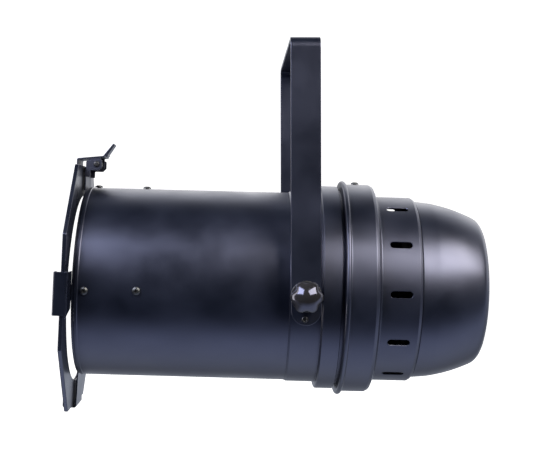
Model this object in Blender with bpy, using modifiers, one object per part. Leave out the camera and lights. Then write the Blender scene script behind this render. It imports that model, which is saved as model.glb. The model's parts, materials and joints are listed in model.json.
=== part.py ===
"""Par can light: a long-barrelled LED par can with a colour frame, hanging in its yoke.

The world origin is the clamp bolt's hole, on the top face of the yoke's crossbar.  +Z is up and
the beam leaves along -X.  Every lamp part is built in the lamp frame, whose origin is where the
tilt axis meets the lamp's axis and whose X runs from the front (-) to the rear (+).  The lamp
frame is an empty that holds the resting tilt.
"""
import math

import bmesh
import bpy
from mathutils import Matrix

MM = 0.001
GAP = 0.3 * MM                      # air left between two parts that touch

# Driving dimensions
REST_TILT = math.radians(1.8)       # the nose looks a little up as the lamp hangs
YOKE_HEIGHT = 248.4 * MM            # tilt axis to the top of the crossbar
PIVOT_DROP = 2.3 * MM               # the tilt axis lies this far below the lamp's own axis
YOKE_HALF_WIDTH = 123.0 * MM        # outer faces of the arms
YOKE_BAR = (29.0 * MM, 3.0 * MM)    # width and thickness of the flat bar
YOKE_FOOT = 27.8 * MM               # arm below the tilt axis
YOKE_BEND = 11.0 * MM               # outer radius of the bar's two bends
RIVET_PLACE = (-1.4 * MM, 0.0, -YOKE_HEIGHT - 22.0 * MM)
NOSE_LEAN = math.radians(0.95)      # the rim, its clips and the colour frame lean forward
NOSE_PIVOT = (-229.0 * MM, 0.0, 119.0 * MM)
BARREL_FRONT = -224.4 * MM          # before the lean
BARREL_RADII = (97.8 * MM, 98.6 * MM)       # at the rim and at the collar
BARREL_BORE = 96.5 * MM
COLLAR_X = (-14.4 * MM, 17.2 * MM)
COLLAR_RADIUS = 100.0 * MM
RING_RADIUS = 106.7 * MM
RING_END = 36.0 * MM
SPIGOT_RADIUS = 102.2 * MM          # seen as the groove between the ring and the bead
BELL_X = (39.2 * MM, 76.4 * MM)
BELL_RADIUS = 109.2 * MM
BULKHEAD_X = (49.9 * MM, 51.5 * MM)     # the plate behind the reflector
BEAD_RADIUS = 112.7 * MM
VENT_END = 117.1 * MM
VENT_RADIUS = 96.9 * MM
SLOT_X = (84.3 * MM, 106.3 * MM)
SLOT_WIDTH = 6.7 * MM
SLOT_COUNT = 12
DOME_FRONT = 117.4 * MM
LAMP_END = 188.6 * MM
PANEL_X = (184.5 * MM, 186.5 * MM)
FRAME_HALF = (116.4 * MM, 124.7 * MM)       # half the colour frame's width and height
FRAME_CORNER = 55.8 * MM            # where its flats end, from the middle of each
FRAME_DROP = 4.9 * MM               # its centre hangs this far below the lamp's axis
FRAME_X = (-232.2 * MM, -228.2 * MM)
APERTURE_RADIUS = 96.7 * MM
APERTURE_DROP = 7.6 * MM
SHEET = 1.5 * MM                    # sheet metal of the clips and the latch
CLIP_X = (-239.1 * MM, -224.9 * MM)
CLIP_WIDTH = 42.0 * MM
CLIP_SAG = 1.6 * MM                 # the side clips sit this far below the frame's centre
LATCH_LEG_REAR = -225.4 * MM
LATCH_PIVOT = (-215.0 * MM, 121.9 * MM)
RIM_SCREWS_X = -214.2 * MM
GLASS_SCREWS_X = -163.7 * MM
BELL_SCREWS_X = 55.8 * MM
KNOB_RADIUS = 16.0 * MM
STUD_RADIUS = 3.85 * MM
STUD_END = 136.0 * MM               # inside the knob, measured from the lamp's axis
SCREW_SHANK = 2.0 * MM

SEGMENTS = 40                       # round the big shells
INNER_SEGMENTS = 32                 # round the shells inside
SMALL_SEGMENTS = 24                 # round knobs, washers and sockets
SCREW_SEGMENTS = 12

NEAR, TOP, FAR, BOTTOM = (math.radians(angle) for angle in (0.0, 90.0, 180.0, 270.0))
FACING_X = (math.pi / 2, 0.0, math.pi / 2)      # an outline's x and y lie along Y and Z
FACING_Y = (math.pi / 2, 0.0, 0.0)              # an outline's x and y lie along X and Z
FACING_Z = (0.0, 0.0, 0.0)
ALONG_X = (0.0, math.pi / 2, 0.0)               # a turned shape's axis along +X
ALONG_NEAR = (math.pi / 2, 0.0, 0.0)            # along -Y
ALONG_FAR = (-math.pi / 2, 0.0, 0.0)            # along +Y
SIDES = (("near", ALONG_NEAR, -1.0), ("far", ALONG_FAR, 1.0))
SCREW_ROWS = (                      # row, x, seat radius, and how far the side screws sag
    ("rim", RIM_SCREWS_X, 97.85 * MM, math.radians(2.5)),
    ("glass", GLASS_SCREWS_X, 98.05 * MM, math.radians(1.8)))
PANEL_SCREWS = [(56.0 * MM * math.cos(math.radians(a)), 56.0 * MM * math.sin(math.radians(a)))
                for a in (90, 210, 330)]


# ---------------------------------------------------------------- scene and materials

def clear_scene():
    for thing in list(bpy.data.objects):
        bpy.data.objects.remove(thing, do_unlink=True)


def new_collection(name):
    collection = bpy.data.collections.new(name)
    bpy.context.scene.collection.children.link(collection)
    return collection


def new_material(name, colour, roughness, metallic=0.0):
    material = bpy.data.materials.new(name)
    material.use_nodes = True
    shader = material.node_tree.nodes["Principled BSDF"]
    shader.inputs["Base Color"].default_value = (*colour, 1.0)
    shader.inputs["Roughness"].default_value = roughness
    shader.inputs["Metallic"].default_value = metallic
    material.diffuse_color = (*colour, 1.0)
    return material


clear_scene()
PARTS = new_collection("par_can_light")
CUTTERS = new_collection("cutters")
BLACK = new_material("black_paint", (0.018, 0.018, 0.022), 0.42)
YOKE_BLACK = new_material("yoke_paint", (0.016, 0.016, 0.019), 0.45)
ZINC = new_material("zinc_plate", (0.45, 0.45, 0.47), 0.35, 1.0)
STEEL = new_material("black_steel", (0.05, 0.05, 0.055), 0.35, 1.0)
PLASTIC = new_material("black_plastic", (0.012, 0.012, 0.013), 0.18)
GLASS = new_material("clear_glass", (0.8, 0.85, 0.85), 0.05)
BRIGHT = new_material("bright_aluminium", (0.85, 0.85, 0.85), 0.12, 1.0)
ALUMINIUM = new_material("cast_aluminium", (0.55, 0.55, 0.57), 0.45, 1.0)
BOARD = new_material("circuit_board", (0.02, 0.12, 0.05), 0.5)
PHOSPHOR = new_material("led_phosphor", (0.9, 0.75, 0.1), 0.5)
RUBBER = new_material("black_rubber", (0.02, 0.02, 0.02), 0.7)
DISPLAY = new_material("display_red", (0.08, 0.01, 0.01), 0.1)
FIBRE = new_material("fibre_washer", (0.12, 0.08, 0.05), 0.8)


def place(thing, parent, material, collection):
    for old in list(thing.users_collection):
        old.objects.unlink(thing)
    collection.objects.link(thing)
    thing.parent = parent
    if material is not None:
        thing.data.materials.append(material)
    if collection == CUTTERS:
        thing.hide_render = True
        thing.display_type = 'WIRE'
    return thing


def object_from(bm, name, location=(0.0, 0.0, 0.0), rotation=FACING_Z):
    mesh = bpy.data.meshes.new(name)
    bm.to_mesh(mesh)
    bm.free()
    thing = bpy.data.objects.new(name, mesh)
    thing.location = location
    thing.rotation_euler = rotation
    return thing


# ---------------------------------------------------------------- shapes

def box(name, low, high, parent, material=None, collection=PARTS):
    """A block between two corners, with its origin at its middle."""
    bm = bmesh.new()
    bmesh.ops.create_cube(bm, size=1.0)
    bmesh.ops.scale(bm, vec=[b - a for a, b in zip(low, high)], verts=bm.verts)
    middle = [(a + b) / 2 for a, b in zip(low, high)]
    return place(object_from(bm, name, middle), parent, material, collection)


def rod(name, radius, start, end, rotation, parent, material=None, collection=PARTS,
        location=(0.0, 0.0, 0.0), segments=SMALL_SEGMENTS):
    """A round bar from start to end along its own Z, which the rotation lays out."""
    bm = bmesh.new()
    middle = Matrix.Translation((0.0, 0.0, (start + end) / 2))
    bmesh.ops.create_cone(bm, cap_ends=True, segments=segments, radius1=radius, radius2=radius,
                          depth=end - start, matrix=middle)
    return place(object_from(bm, name, location, rotation), parent, material, collection)


def turned(name, profile, rotation, parent, material=None, collection=PARTS,
           location=(0.0, 0.0, 0.0), segments=SEGMENTS):
    """A profile of (along, radius) points turned round its own Z.

    The points run down the outer side from the far end, then back up the inner side.  A profile
    that touches the axis at both ends is left open there and closes itself.
    """
    bm = bmesh.new()
    corners = [bm.verts.new((radius, 0.0, along)) for along, radius in profile]
    for first, second in zip(corners, corners[1:]):
        bm.edges.new((first, second))
    if profile[0][1] > 0.0:
        bm.edges.new((corners[-1], corners[0]))
    thing = place(object_from(bm, name, location, rotation), parent, material, collection)
    screw = thing.modifiers.new("Turn", 'SCREW')
    screw.axis = 'Z'
    screw.angle = math.tau
    screw.steps = segments
    screw.render_steps = segments
    screw.use_merge_vertices = True
    screw.merge_threshold = 0.00001
    return thing


def plate(name, outline, depth, facing, parent, material=None, collection=PARTS,
          location=(0.0, 0.0, 0.0), holes=()):
    """A flat outline with holes, drawn as a 2D curve and given half its depth each way."""
    curve = bpy.data.curves.new(name, 'CURVE')
    curve.dimensions = '2D'
    curve.fill_mode = 'BOTH'
    curve.extrude = depth / 2
    for points in (outline, *holes):
        spline = curve.splines.new('POLY')
        spline.points.add(len(points) - 1)
        for point, (x, y) in zip(spline.points, points):
            point.co = (x, y, 0.0, 1.0)
        spline.use_cyclic_u = True
    drawn = bpy.data.objects.new(name + "_curve", curve)
    drawn.location = location
    drawn.rotation_euler = facing
    return place(mesh_of(drawn, name), parent, material, collection)


def mesh_of(drawn, name):
    """A curve object made a mesh object with its caps welded."""
    bpy.context.scene.collection.objects.link(drawn)
    bpy.context.view_layer.update()
    evaluated = drawn.evaluated_get(bpy.context.evaluated_depsgraph_get())
    mesh = bpy.data.meshes.new_from_object(evaluated)
    bm = bmesh.new()
    bm.from_mesh(mesh)
    bmesh.ops.remove_doubles(bm, verts=bm.verts, dist=0.000005)
    bmesh.ops.recalc_face_normals(bm, faces=bm.faces)
    bm.to_mesh(mesh)
    bm.free()
    thing = bpy.data.objects.new(name, mesh)
    thing.matrix_world = drawn.matrix_world
    bpy.data.objects.remove(drawn, do_unlink=True)
    return thing


def arc(centre, radius, start, end, steps):
    """Points round a centre, with the angles in degrees."""
    points = []
    for step in range(steps + 1):
        angle = math.radians(start + (end - start) * step / steps)
        points.append((centre[0] + radius * math.cos(angle), centre[1] + radius * math.sin(angle)))
    return points


def circle(centre, radius, steps=SMALL_SEGMENTS):
    return arc(centre, radius, 0.0, 360.0, steps)[:-1]


def polygon(points):
    """Millimetres to metres."""
    return [(x * MM, y * MM) for x, y in points]


def combine(thing, others, operation):
    """Cut the others from the thing, or join them to it."""
    for other in others:
        boolean = thing.modifiers.new(other.name, 'BOOLEAN')
        boolean.operation = operation
        boolean.solver = 'EXACT'
        boolean.object = other
    return thing


def cut(thing, *others):
    return combine(thing, others, 'DIFFERENCE')


def join(thing, *others):
    return combine(thing, others, 'UNION')


def outward(angle):
    """The rotation that points a part's own Z out of the lamp's side, from the near side up."""
    return (math.pi / 2 - angle, 0.0, 0.0)


def row_angles(sag):
    """The three screws of a row, the side ones a little below the lamp's axis."""
    return (("near", NEAR - sag), ("top", TOP), ("far", FAR + sag))


def drills(name, places, radius, inner, outer, parent):
    """One cutter of several round holes through the lamp's side, at (x, angle) places."""
    bm = bmesh.new()
    for x, angle in places:
        turn = Matrix.Rotation(math.pi / 2 - angle, 4, 'X')
        middle = Matrix.Translation((0.0, 0.0, (inner + outer) / 2))
        bmesh.ops.create_cone(bm, cap_ends=True, segments=SCREW_SEGMENTS, radius1=radius,
                              radius2=radius, depth=outer - inner,
                              matrix=Matrix.Translation((x, 0.0, 0.0)) @ turn @ middle)
    return place(object_from(bm, name), parent, None, CUTTERS)


def pan_screw(name, seat, length, rotation, parent, location, head_radius=4.2 * MM):
    """A pan-head screw whose head sits on the seat, along its own Z, with a round recess."""
    head = 2.4 * MM
    recess = (1.5 * MM, 1.2 * MM)
    profile = [(seat + head - recess[1], 0.0), (seat + head - recess[1], recess[0]),
               (seat + head, recess[0] + 0.3 * MM), (seat + head * 0.85, head_radius * 0.65),
               (seat + head * 0.45, head_radius * 0.93), (seat, head_radius),
               (seat, SCREW_SHANK), (seat - length, SCREW_SHANK), (seat - length, 0.0)]
    return turned(name, profile, rotation, parent, ZINC, location=location,
                  segments=SCREW_SEGMENTS)


# ---------------------------------------------------------------- lamp frame and screw holes

def lamp_frame():
    """The empty on the lamp's axis, above the tilt axis, that every lamp part hangs from."""
    empty = bpy.data.objects.new("lamp_frame", None)
    empty.location = (PIVOT_DROP * math.sin(REST_TILT), 0.0,
                      PIVOT_DROP * math.cos(REST_TILT) - YOKE_HEIGHT)
    empty.rotation_euler = (0.0, REST_TILT, 0.0)
    bpy.context.scene.collection.objects.link(empty)
    bpy.context.view_layer.update()
    return empty


def nose_frame():
    """The empty of everything that leans with the rim, still in the lamp frame's coordinates."""
    empty = bpy.data.objects.new("nose_frame", None)
    x, _, z = NOSE_PIVOT
    empty.location = (x - x * math.cos(NOSE_LEAN) - z * math.sin(NOSE_LEAN), 0.0,
                      z + x * math.sin(NOSE_LEAN) - z * math.cos(NOSE_LEAN))
    empty.rotation_euler = (0.0, NOSE_LEAN, 0.0)
    empty.parent = LAMP
    bpy.context.scene.collection.objects.link(empty)
    bpy.context.view_layer.update()
    return empty


def panel_drills():
    """The three holes for the rear panel's screws, in the dome's flange."""
    bm = bmesh.new()
    along = Matrix.Rotation(math.pi / 2, 4, 'Y')
    for y, z in PANEL_SCREWS:
        bmesh.ops.create_cone(bm, cap_ends=True, segments=SCREW_SEGMENTS, radius1=SCREW_SHANK + GAP,
                              radius2=SCREW_SHANK + GAP, depth=20.0 * MM,
                              matrix=Matrix.Translation((PANEL_X[0], y, z)) @ along)
    return place(object_from(bm, "panel_drills"), LAMP, None, CUTTERS)


LAMP = lamp_frame()
NOSE = nose_frame()
HUB = (0.0, 0.0, -PIVOT_DROP)       # the tilt axis, in the lamp's frame
DRILLS = drills("barrel_drills",
                [(x, angle) for _, x, _, sag in SCREW_ROWS for _, angle in row_angles(sag)],
                SCREW_SHANK + GAP, 85.0 * MM, 110.0 * MM, LAMP)
BELL_DRILL = drills("bell_drill", [(BELL_SCREWS_X, TOP)], SCREW_SHANK + GAP, 95.0 * MM, 120.0 * MM,
                    LAMP)
PANEL_DRILLS = panel_drills()


# ---------------------------------------------------------------- yoke

def build_yoke():
    width, thickness = YOKE_BAR
    bend = YOKE_BEND
    half = YOKE_HALF_WIDTH
    foot = -YOKE_HEIGHT - YOKE_FOOT
    corner = half - bend
    outside = [(half, foot), *arc((corner, -bend), bend, 0, 90, 6),
               *arc((-corner, -bend), bend, 90, 180, 6), (-half, foot)]
    inner = bend - thickness
    inside = [(thickness - half, foot), *arc((-corner, -bend), inner, 180, 90, 6),
              *arc((corner, -bend), inner, 90, 0, 6), (half - thickness, foot)]
    yoke = plate("yoke", outside + inside, width, FACING_X, None, YOKE_BLACK)
    side = width / 2
    above = 10.0 * MM
    stadium = [(side, above), (-side, above), *arc((0.0, foot + side), side, 180, 360, 12)]
    rounding = plate("yoke_side_outline", stadium, 3 * half, FACING_Y, None, None, CUTTERS)
    combine(yoke, [rounding], 'INTERSECT')
    through = half * 1.2
    pivot = rod("yoke_pivot_holes", 4.3 * MM, -through, through, ALONG_NEAR, None, None, CUTTERS,
                location=(0.0, 0.0, -YOKE_HEIGHT))
    rivet_holes = rod("yoke_rivet_holes", 2.1 * MM, -through, through, ALONG_NEAR, None, None,
                      CUTTERS, location=RIVET_PLACE, segments=SCREW_SEGMENTS)
    clamp_hole = rod("yoke_clamp_hole", 6.5 * MM, -2 * thickness, above, FACING_Z, None, None,
                     CUTTERS)
    cut(yoke, pivot, rivet_holes, clamp_hole)
    for label, _, sign in SIDES:
        cut(yoke, rod("yoke_safety_hole_" + label, 4.5 * MM, -2 * thickness, above, FACING_Z, None,
                      None, CUTTERS, location=(0.0, sign * 55.0 * MM, 0.0)))


def build_arm_hardware():
    """Rivets, knob washers and the two clamping knobs, outside each arm."""
    arm_out = YOKE_HALF_WIDTH
    arm_in = YOKE_HALF_WIDTH - YOKE_BAR[1]
    head = 1.2 * MM
    washer = (arm_out + GAP, arm_out + GAP + 1.2 * MM)
    for label, rotation, _ in SIDES:
        rivet = [(arm_out + GAP + head, 0.0), (arm_out + GAP + head, 2.4 * MM),
                 (arm_out + GAP, 3.2 * MM), (arm_out + GAP, 1.8 * MM), (arm_in - GAP, 1.8 * MM),
                 (arm_in - GAP, 3.0 * MM), (arm_in - GAP - head, 2.4 * MM),
                 (arm_in - GAP - head, 0.0)]
        turned("arm_rivet_" + label, rivet, rotation, None, STEEL, location=RIVET_PLACE,
               segments=SCREW_SEGMENTS)
        ring = [(washer[1], 15.0 * MM), (washer[0], 15.0 * MM), (washer[0], 4.3 * MM),
                (washer[1], 4.3 * MM)]
        turned("knob_washer_" + label, ring, rotation, None, STEEL,
               location=(0.0, 0.0, -YOKE_HEIGHT), segments=SMALL_SEGMENTS)
        build_knob(label, rotation, washer[1] + GAP)


def build_knob(label, rotation, base):
    """A star knob of six lobes with a domed cap and a blind bore for the stud."""
    lobes = 6
    steps = 42
    outline = []
    for step in range(steps):
        angle = math.tau * step / steps
        radius = KNOB_RADIUS - 1.1 * MM * (1.0 - math.cos(lobes * angle))
        outline.append((radius * math.cos(angle), radius * math.sin(angle)))
    head = (base + 3.5 * MM, base + 15.0 * MM)
    spindle = [(base + 20.2 * MM, 0.0), (base + 19.6 * MM, 4.0 * MM), (base + 17.5 * MM, 9.0 * MM),
               (base + 14.0 * MM, 12.5 * MM), (base + 4.5 * MM, 12.5 * MM), (base, 9.0 * MM),
               (base, 0.0)]
    knob = turned("knob_" + label, spindle, rotation, LAMP, PLASTIC, location=HUB,
                  segments=SMALL_SEGMENTS)
    outward = knob.rotation_euler.to_matrix() @ Matrix.Identity(3).col[2]
    centre = knob.location + outward * (sum(head) / 2)
    star = plate("knob_star_" + label, outline, head[1] - head[0], rotation, LAMP, None, CUTTERS,
                 location=centre)
    soften = star.modifiers.new("Soft edges", 'BEVEL')
    soften.width = 2.2 * MM
    soften.segments = 1
    soften.limit_method = 'ANGLE'
    soften.angle_limit = math.radians(50)
    join(knob, star)
    cut(knob, rod("knob_bore_" + label, STUD_RADIUS + GAP, base - 5.0 * MM, STUD_END + 0.8 * MM,
                  rotation, LAMP, None, CUTTERS, location=HUB))


def build_pivots():
    """The shouldered stud on each side of the collar, and the friction washer on its shoulder."""
    arm_in = YOKE_HALF_WIDTH - YOKE_BAR[1]
    washer = (arm_in - GAP - 1.0 * MM, arm_in - GAP)
    shoulder = washer[0] - GAP
    start = COLLAR_RADIUS - 5.0 * MM
    core = rod("stud_seat", COLLAR_RADIUS + GAP, -30.0 * MM, 30.0 * MM, ALONG_X, LAMP, None,
               CUTTERS, segments=SEGMENTS)
    for label, rotation, _ in SIDES:
        stud = [(STUD_END, 0.0), (STUD_END, STUD_RADIUS - 0.6 * MM), (STUD_END - 0.8 * MM, STUD_RADIUS),
                (shoulder, STUD_RADIUS), (shoulder, 12.0 * MM), (shoulder - 1.0 * MM, 13.0 * MM),
                (start, 13.0 * MM), (start, 0.0)]
        cut(turned("pivot_stud_" + label, stud, rotation, LAMP, BLACK, location=HUB,
                   segments=SMALL_SEGMENTS), core)
        ring = [(washer[1], 13.0 * MM), (washer[0], 13.0 * MM), (washer[0], 4.3 * MM),
                (washer[1], 4.3 * MM)]
        turned("friction_washer_" + label, ring, rotation, LAMP, FIBRE, location=HUB,
               segments=SMALL_SEGMENTS)


# ---------------------------------------------------------------- lamp shells

def build_barrel():
    """The long tube, its mouth trimmed to the nose's lean."""
    front, rear = BARREL_RADII
    stop = 16.0 * MM
    spare = 6.0 * MM
    profile = [(stop, BARREL_BORE), (stop, rear), (COLLAR_X[0], rear), (BARREL_FRONT - spare, front),
               (BARREL_FRONT - spare, BARREL_BORE)]
    barrel = turned("front_barrel", profile, ALONG_X, LAMP, BLACK)
    reach = 130.0 * MM
    trim = box("barrel_trim", (BARREL_FRONT - 4 * spare, -reach, -reach), (BARREL_FRONT, reach, reach),
               NOSE, None, CUTTERS)
    cut(barrel, trim, DRILLS)


def build_housing():
    """The collar that takes the barrel, the ring behind it, and its spigot."""
    grip = BARREL_RADII[1] + GAP
    spigot = SPIGOT_RADIUS
    wall = 2.5 * MM
    spigot_end = BULKHEAD_X[0] - GAP
    profile = [(spigot_end, spigot - wall), (spigot_end, spigot), (RING_END, spigot),
               (RING_END, RING_RADIUS), (20.5 * MM, RING_RADIUS - 0.3 * MM),
               (18.2 * MM, RING_RADIUS - 1.0 * MM), (COLLAR_X[1], RING_RADIUS - 2.4 * MM),
               (COLLAR_X[1], COLLAR_RADIUS), (COLLAR_X[0], COLLAR_RADIUS), (COLLAR_X[0], grip),
               (16.3 * MM, grip), (16.3 * MM, BARREL_BORE), (19.5 * MM, BARREL_BORE),
               (24.0 * MM, spigot - wall)]
    turned("main_housing", profile, ALONG_X, LAMP, BLACK)


def build_bell():
    front, rear = BELL_X
    wall = 3.0 * MM
    inner = BELL_RADIUS - wall
    throat = VENT_RADIUS + GAP
    bead = [(45.2 * MM, BELL_RADIUS), (44.2 * MM, BEAD_RADIUS - 0.9 * MM), (42.1 * MM, BEAD_RADIUS),
            (40.0 * MM, BEAD_RADIUS - 0.9 * MM), (front, BELL_RADIUS)]
    shoulder = [(rear, throat), (rear, 98.9 * MM), (75.2 * MM, 99.2 * MM), (74.4 * MM, 102.0 * MM),
                (73.3 * MM, 105.2 * MM), (71.6 * MM, 107.9 * MM), (69.3 * MM, BELL_RADIUS)]
    lip = SPIGOT_RADIUS + GAP
    inside = [(front, lip), (46.0 * MM, lip), (47.5 * MM, inner), (66.5 * MM, inner),
              (69.6 * MM, 103.8 * MM), (71.4 * MM, 100.4 * MM), (72.2 * MM, throat)]
    cut(turned("rear_bell", shoulder + bead + inside, ALONG_X, LAMP, BLACK), BELL_DRILL)


def build_vent_ring():
    """The slotted ring between the bell and the dome."""
    end = VENT_END
    wall = 2.5 * MM
    spigot = 89.7 * MM
    spigot_end = 128.5 * MM
    profile = [(spigot_end, spigot - wall), (spigot_end, spigot), (end, spigot),
               (end, 93.6 * MM), (116.1 * MM, 95.6 * MM), (113.4 * MM, VENT_RADIUS),
               (66.0 * MM, VENT_RADIUS), (66.0 * MM, VENT_RADIUS - wall),
               (112.0 * MM, VENT_RADIUS - wall), (116.5 * MM, spigot - wall)]
    ring = turned("vent_ring", profile, ALONG_X, LAMP, BLACK)
    cut(ring, slot_cutter())


def slot_cutter():
    """One stadium-shaped cutter for each slot, all in one mesh."""
    middle = sum(SLOT_X) / 2
    straight = (SLOT_X[1] - SLOT_X[0] - SLOT_WIDTH) / 2
    radius = SLOT_WIDTH / 2
    outline = [*arc((straight, 0.0), radius, -90, 90, 6), *arc((-straight, 0.0), radius, 90, 270, 6)]
    single = plate("slot_outline", outline, 20.0 * MM, FACING_Z, None, None, CUTTERS)
    bm = bmesh.new()
    lift = Matrix.Translation((middle, 0.0, VENT_RADIUS))
    for index in range(SLOT_COUNT):
        copy = single.data.copy()
        copy.transform(Matrix.Rotation(math.tau * index / SLOT_COUNT, 4, 'X') @ lift)
        bm.from_mesh(copy)
        bpy.data.meshes.remove(copy)
    bpy.data.objects.remove(single, do_unlink=True)
    return place(object_from(bm, "vent_slots"), LAMP, None, CUTTERS)


def build_dome():
    outer = polygon([(188.6, 63.0), (188.3, 66.0), (187.3, 70.5), (185.0, 73.9), (181.5, 76.9),
                     (172.0, 81.2), (159.0, 85.9), (146.0, 89.4), (133.0, 91.8)])
    flange = [(182.0 * MM, 72.5 * MM), (182.0 * MM, 50.0 * MM), (184.2 * MM, 50.0 * MM),
              (184.2 * MM, 63.0 * MM)]
    inner = polygon([(129.5, 90.0), (146.0, 86.9), (159.0, 83.4), (172.0, 78.7)])
    profile = outer + [(DOME_FRONT, 93.2 * MM), (DOME_FRONT, 90.0 * MM)] + inner + flange
    cut(turned("rear_dome", profile, ALONG_X, LAMP, BLACK), PANEL_DRILLS)


# ---------------------------------------------------------------- rear panel

PANEL_RADIUS = 62.6 * MM
DISPLAY_CENTRE = (0.0, 36.0 * MM)
DISPLAY_SIZE = (36.0 * MM, 15.0 * MM)
BUTTON_PLACES = [(y * MM, 19.0 * MM) for y in (-21.0, -7.0, 7.0, 21.0)]
BUTTON_RADIUS = 3.6 * MM
DMX_PLACES = (("dmx_in", -25.0 * MM), ("dmx_out", 25.0 * MM))
DMX_HEIGHT = -8.0 * MM
DMX_RADIUS = 10.8 * MM
INLET_CENTRE = (0.0, -36.0 * MM)
INLET_SIZE = (27.0 * MM, 19.0 * MM)
FUSE_CENTRE = (0.0, -6.0 * MM)
FUSE_RADIUS = 6.0 * MM


def rectangle(centre, size, margin=0.0):
    half_y = size[0] / 2 + margin
    half_z = size[1] / 2 + margin
    y, z = centre
    return [(y - half_y, z - half_z), (y + half_y, z - half_z), (y + half_y, z + half_z),
            (y - half_y, z + half_z)]


def build_panel():
    holes = [rectangle(DISPLAY_CENTRE, DISPLAY_SIZE, GAP), rectangle(INLET_CENTRE, INLET_SIZE, GAP),
             circle(FUSE_CENTRE, FUSE_RADIUS + GAP)]
    holes += [circle(place_, BUTTON_RADIUS + GAP, SCREW_SEGMENTS) for place_ in BUTTON_PLACES]
    holes += [circle((y, DMX_HEIGHT), DMX_RADIUS + GAP) for _, y in DMX_PLACES]
    holes += [circle(place_, SCREW_SHANK + GAP, SCREW_SEGMENTS) for place_ in PANEL_SCREWS]
    depth = PANEL_X[1] - PANEL_X[0]
    plate("rear_panel", circle((0.0, 0.0), PANEL_RADIUS, SEGMENTS), depth, FACING_X, LAMP, BLACK,
          location=(sum(PANEL_X) / 2, 0.0, 0.0), holes=holes)
    for number, (y, z) in enumerate(PANEL_SCREWS, start=1):
        pan_screw(f"panel_screw_{number}", PANEL_X[1] + GAP, 6.5 * MM, ALONG_X, LAMP, (0.0, y, z),
                  head_radius=3.4 * MM)


def build_controls():
    """The control board with its display window and four menu buttons."""
    board = (171.0 * MM, 172.6 * MM)
    box("control_board", (board[0], -37.0 * MM, 12.0 * MM), (board[1], 37.0 * MM, 48.0 * MM), LAMP,
        BOARD)
    y, z = DISPLAY_CENTRE
    half_y, half_z = DISPLAY_SIZE[0] / 2, DISPLAY_SIZE[1] / 2
    box("display_window", (board[1] + GAP, y - half_y, z - half_z),
        (PANEL_X[1] + 0.4 * MM, y + half_y, z + half_z), LAMP, DISPLAY)
    foot = board[1] + 1.6 * MM
    for number, (y, z) in enumerate(BUTTON_PLACES, start=1):
        top = PANEL_X[1] + 1.8 * MM
        flange = (PANEL_X[0] - 1.8 * MM, PANEL_X[0] - GAP)
        profile = [(top, 0.0), (top, BUTTON_RADIUS - 0.6 * MM), (top - 0.6 * MM, BUTTON_RADIUS),
                   (flange[1], BUTTON_RADIUS), (flange[1], BUTTON_RADIUS + 1.4 * MM),
                   (flange[0], BUTTON_RADIUS + 1.4 * MM), (flange[0], 2.0 * MM), (foot, 2.0 * MM),
                   (foot, 0.0)]
        turned(f"button_{number}", profile, ALONG_X, LAMP, RUBBER, location=(0.0, y, z),
               segments=SCREW_SEGMENTS)


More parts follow.
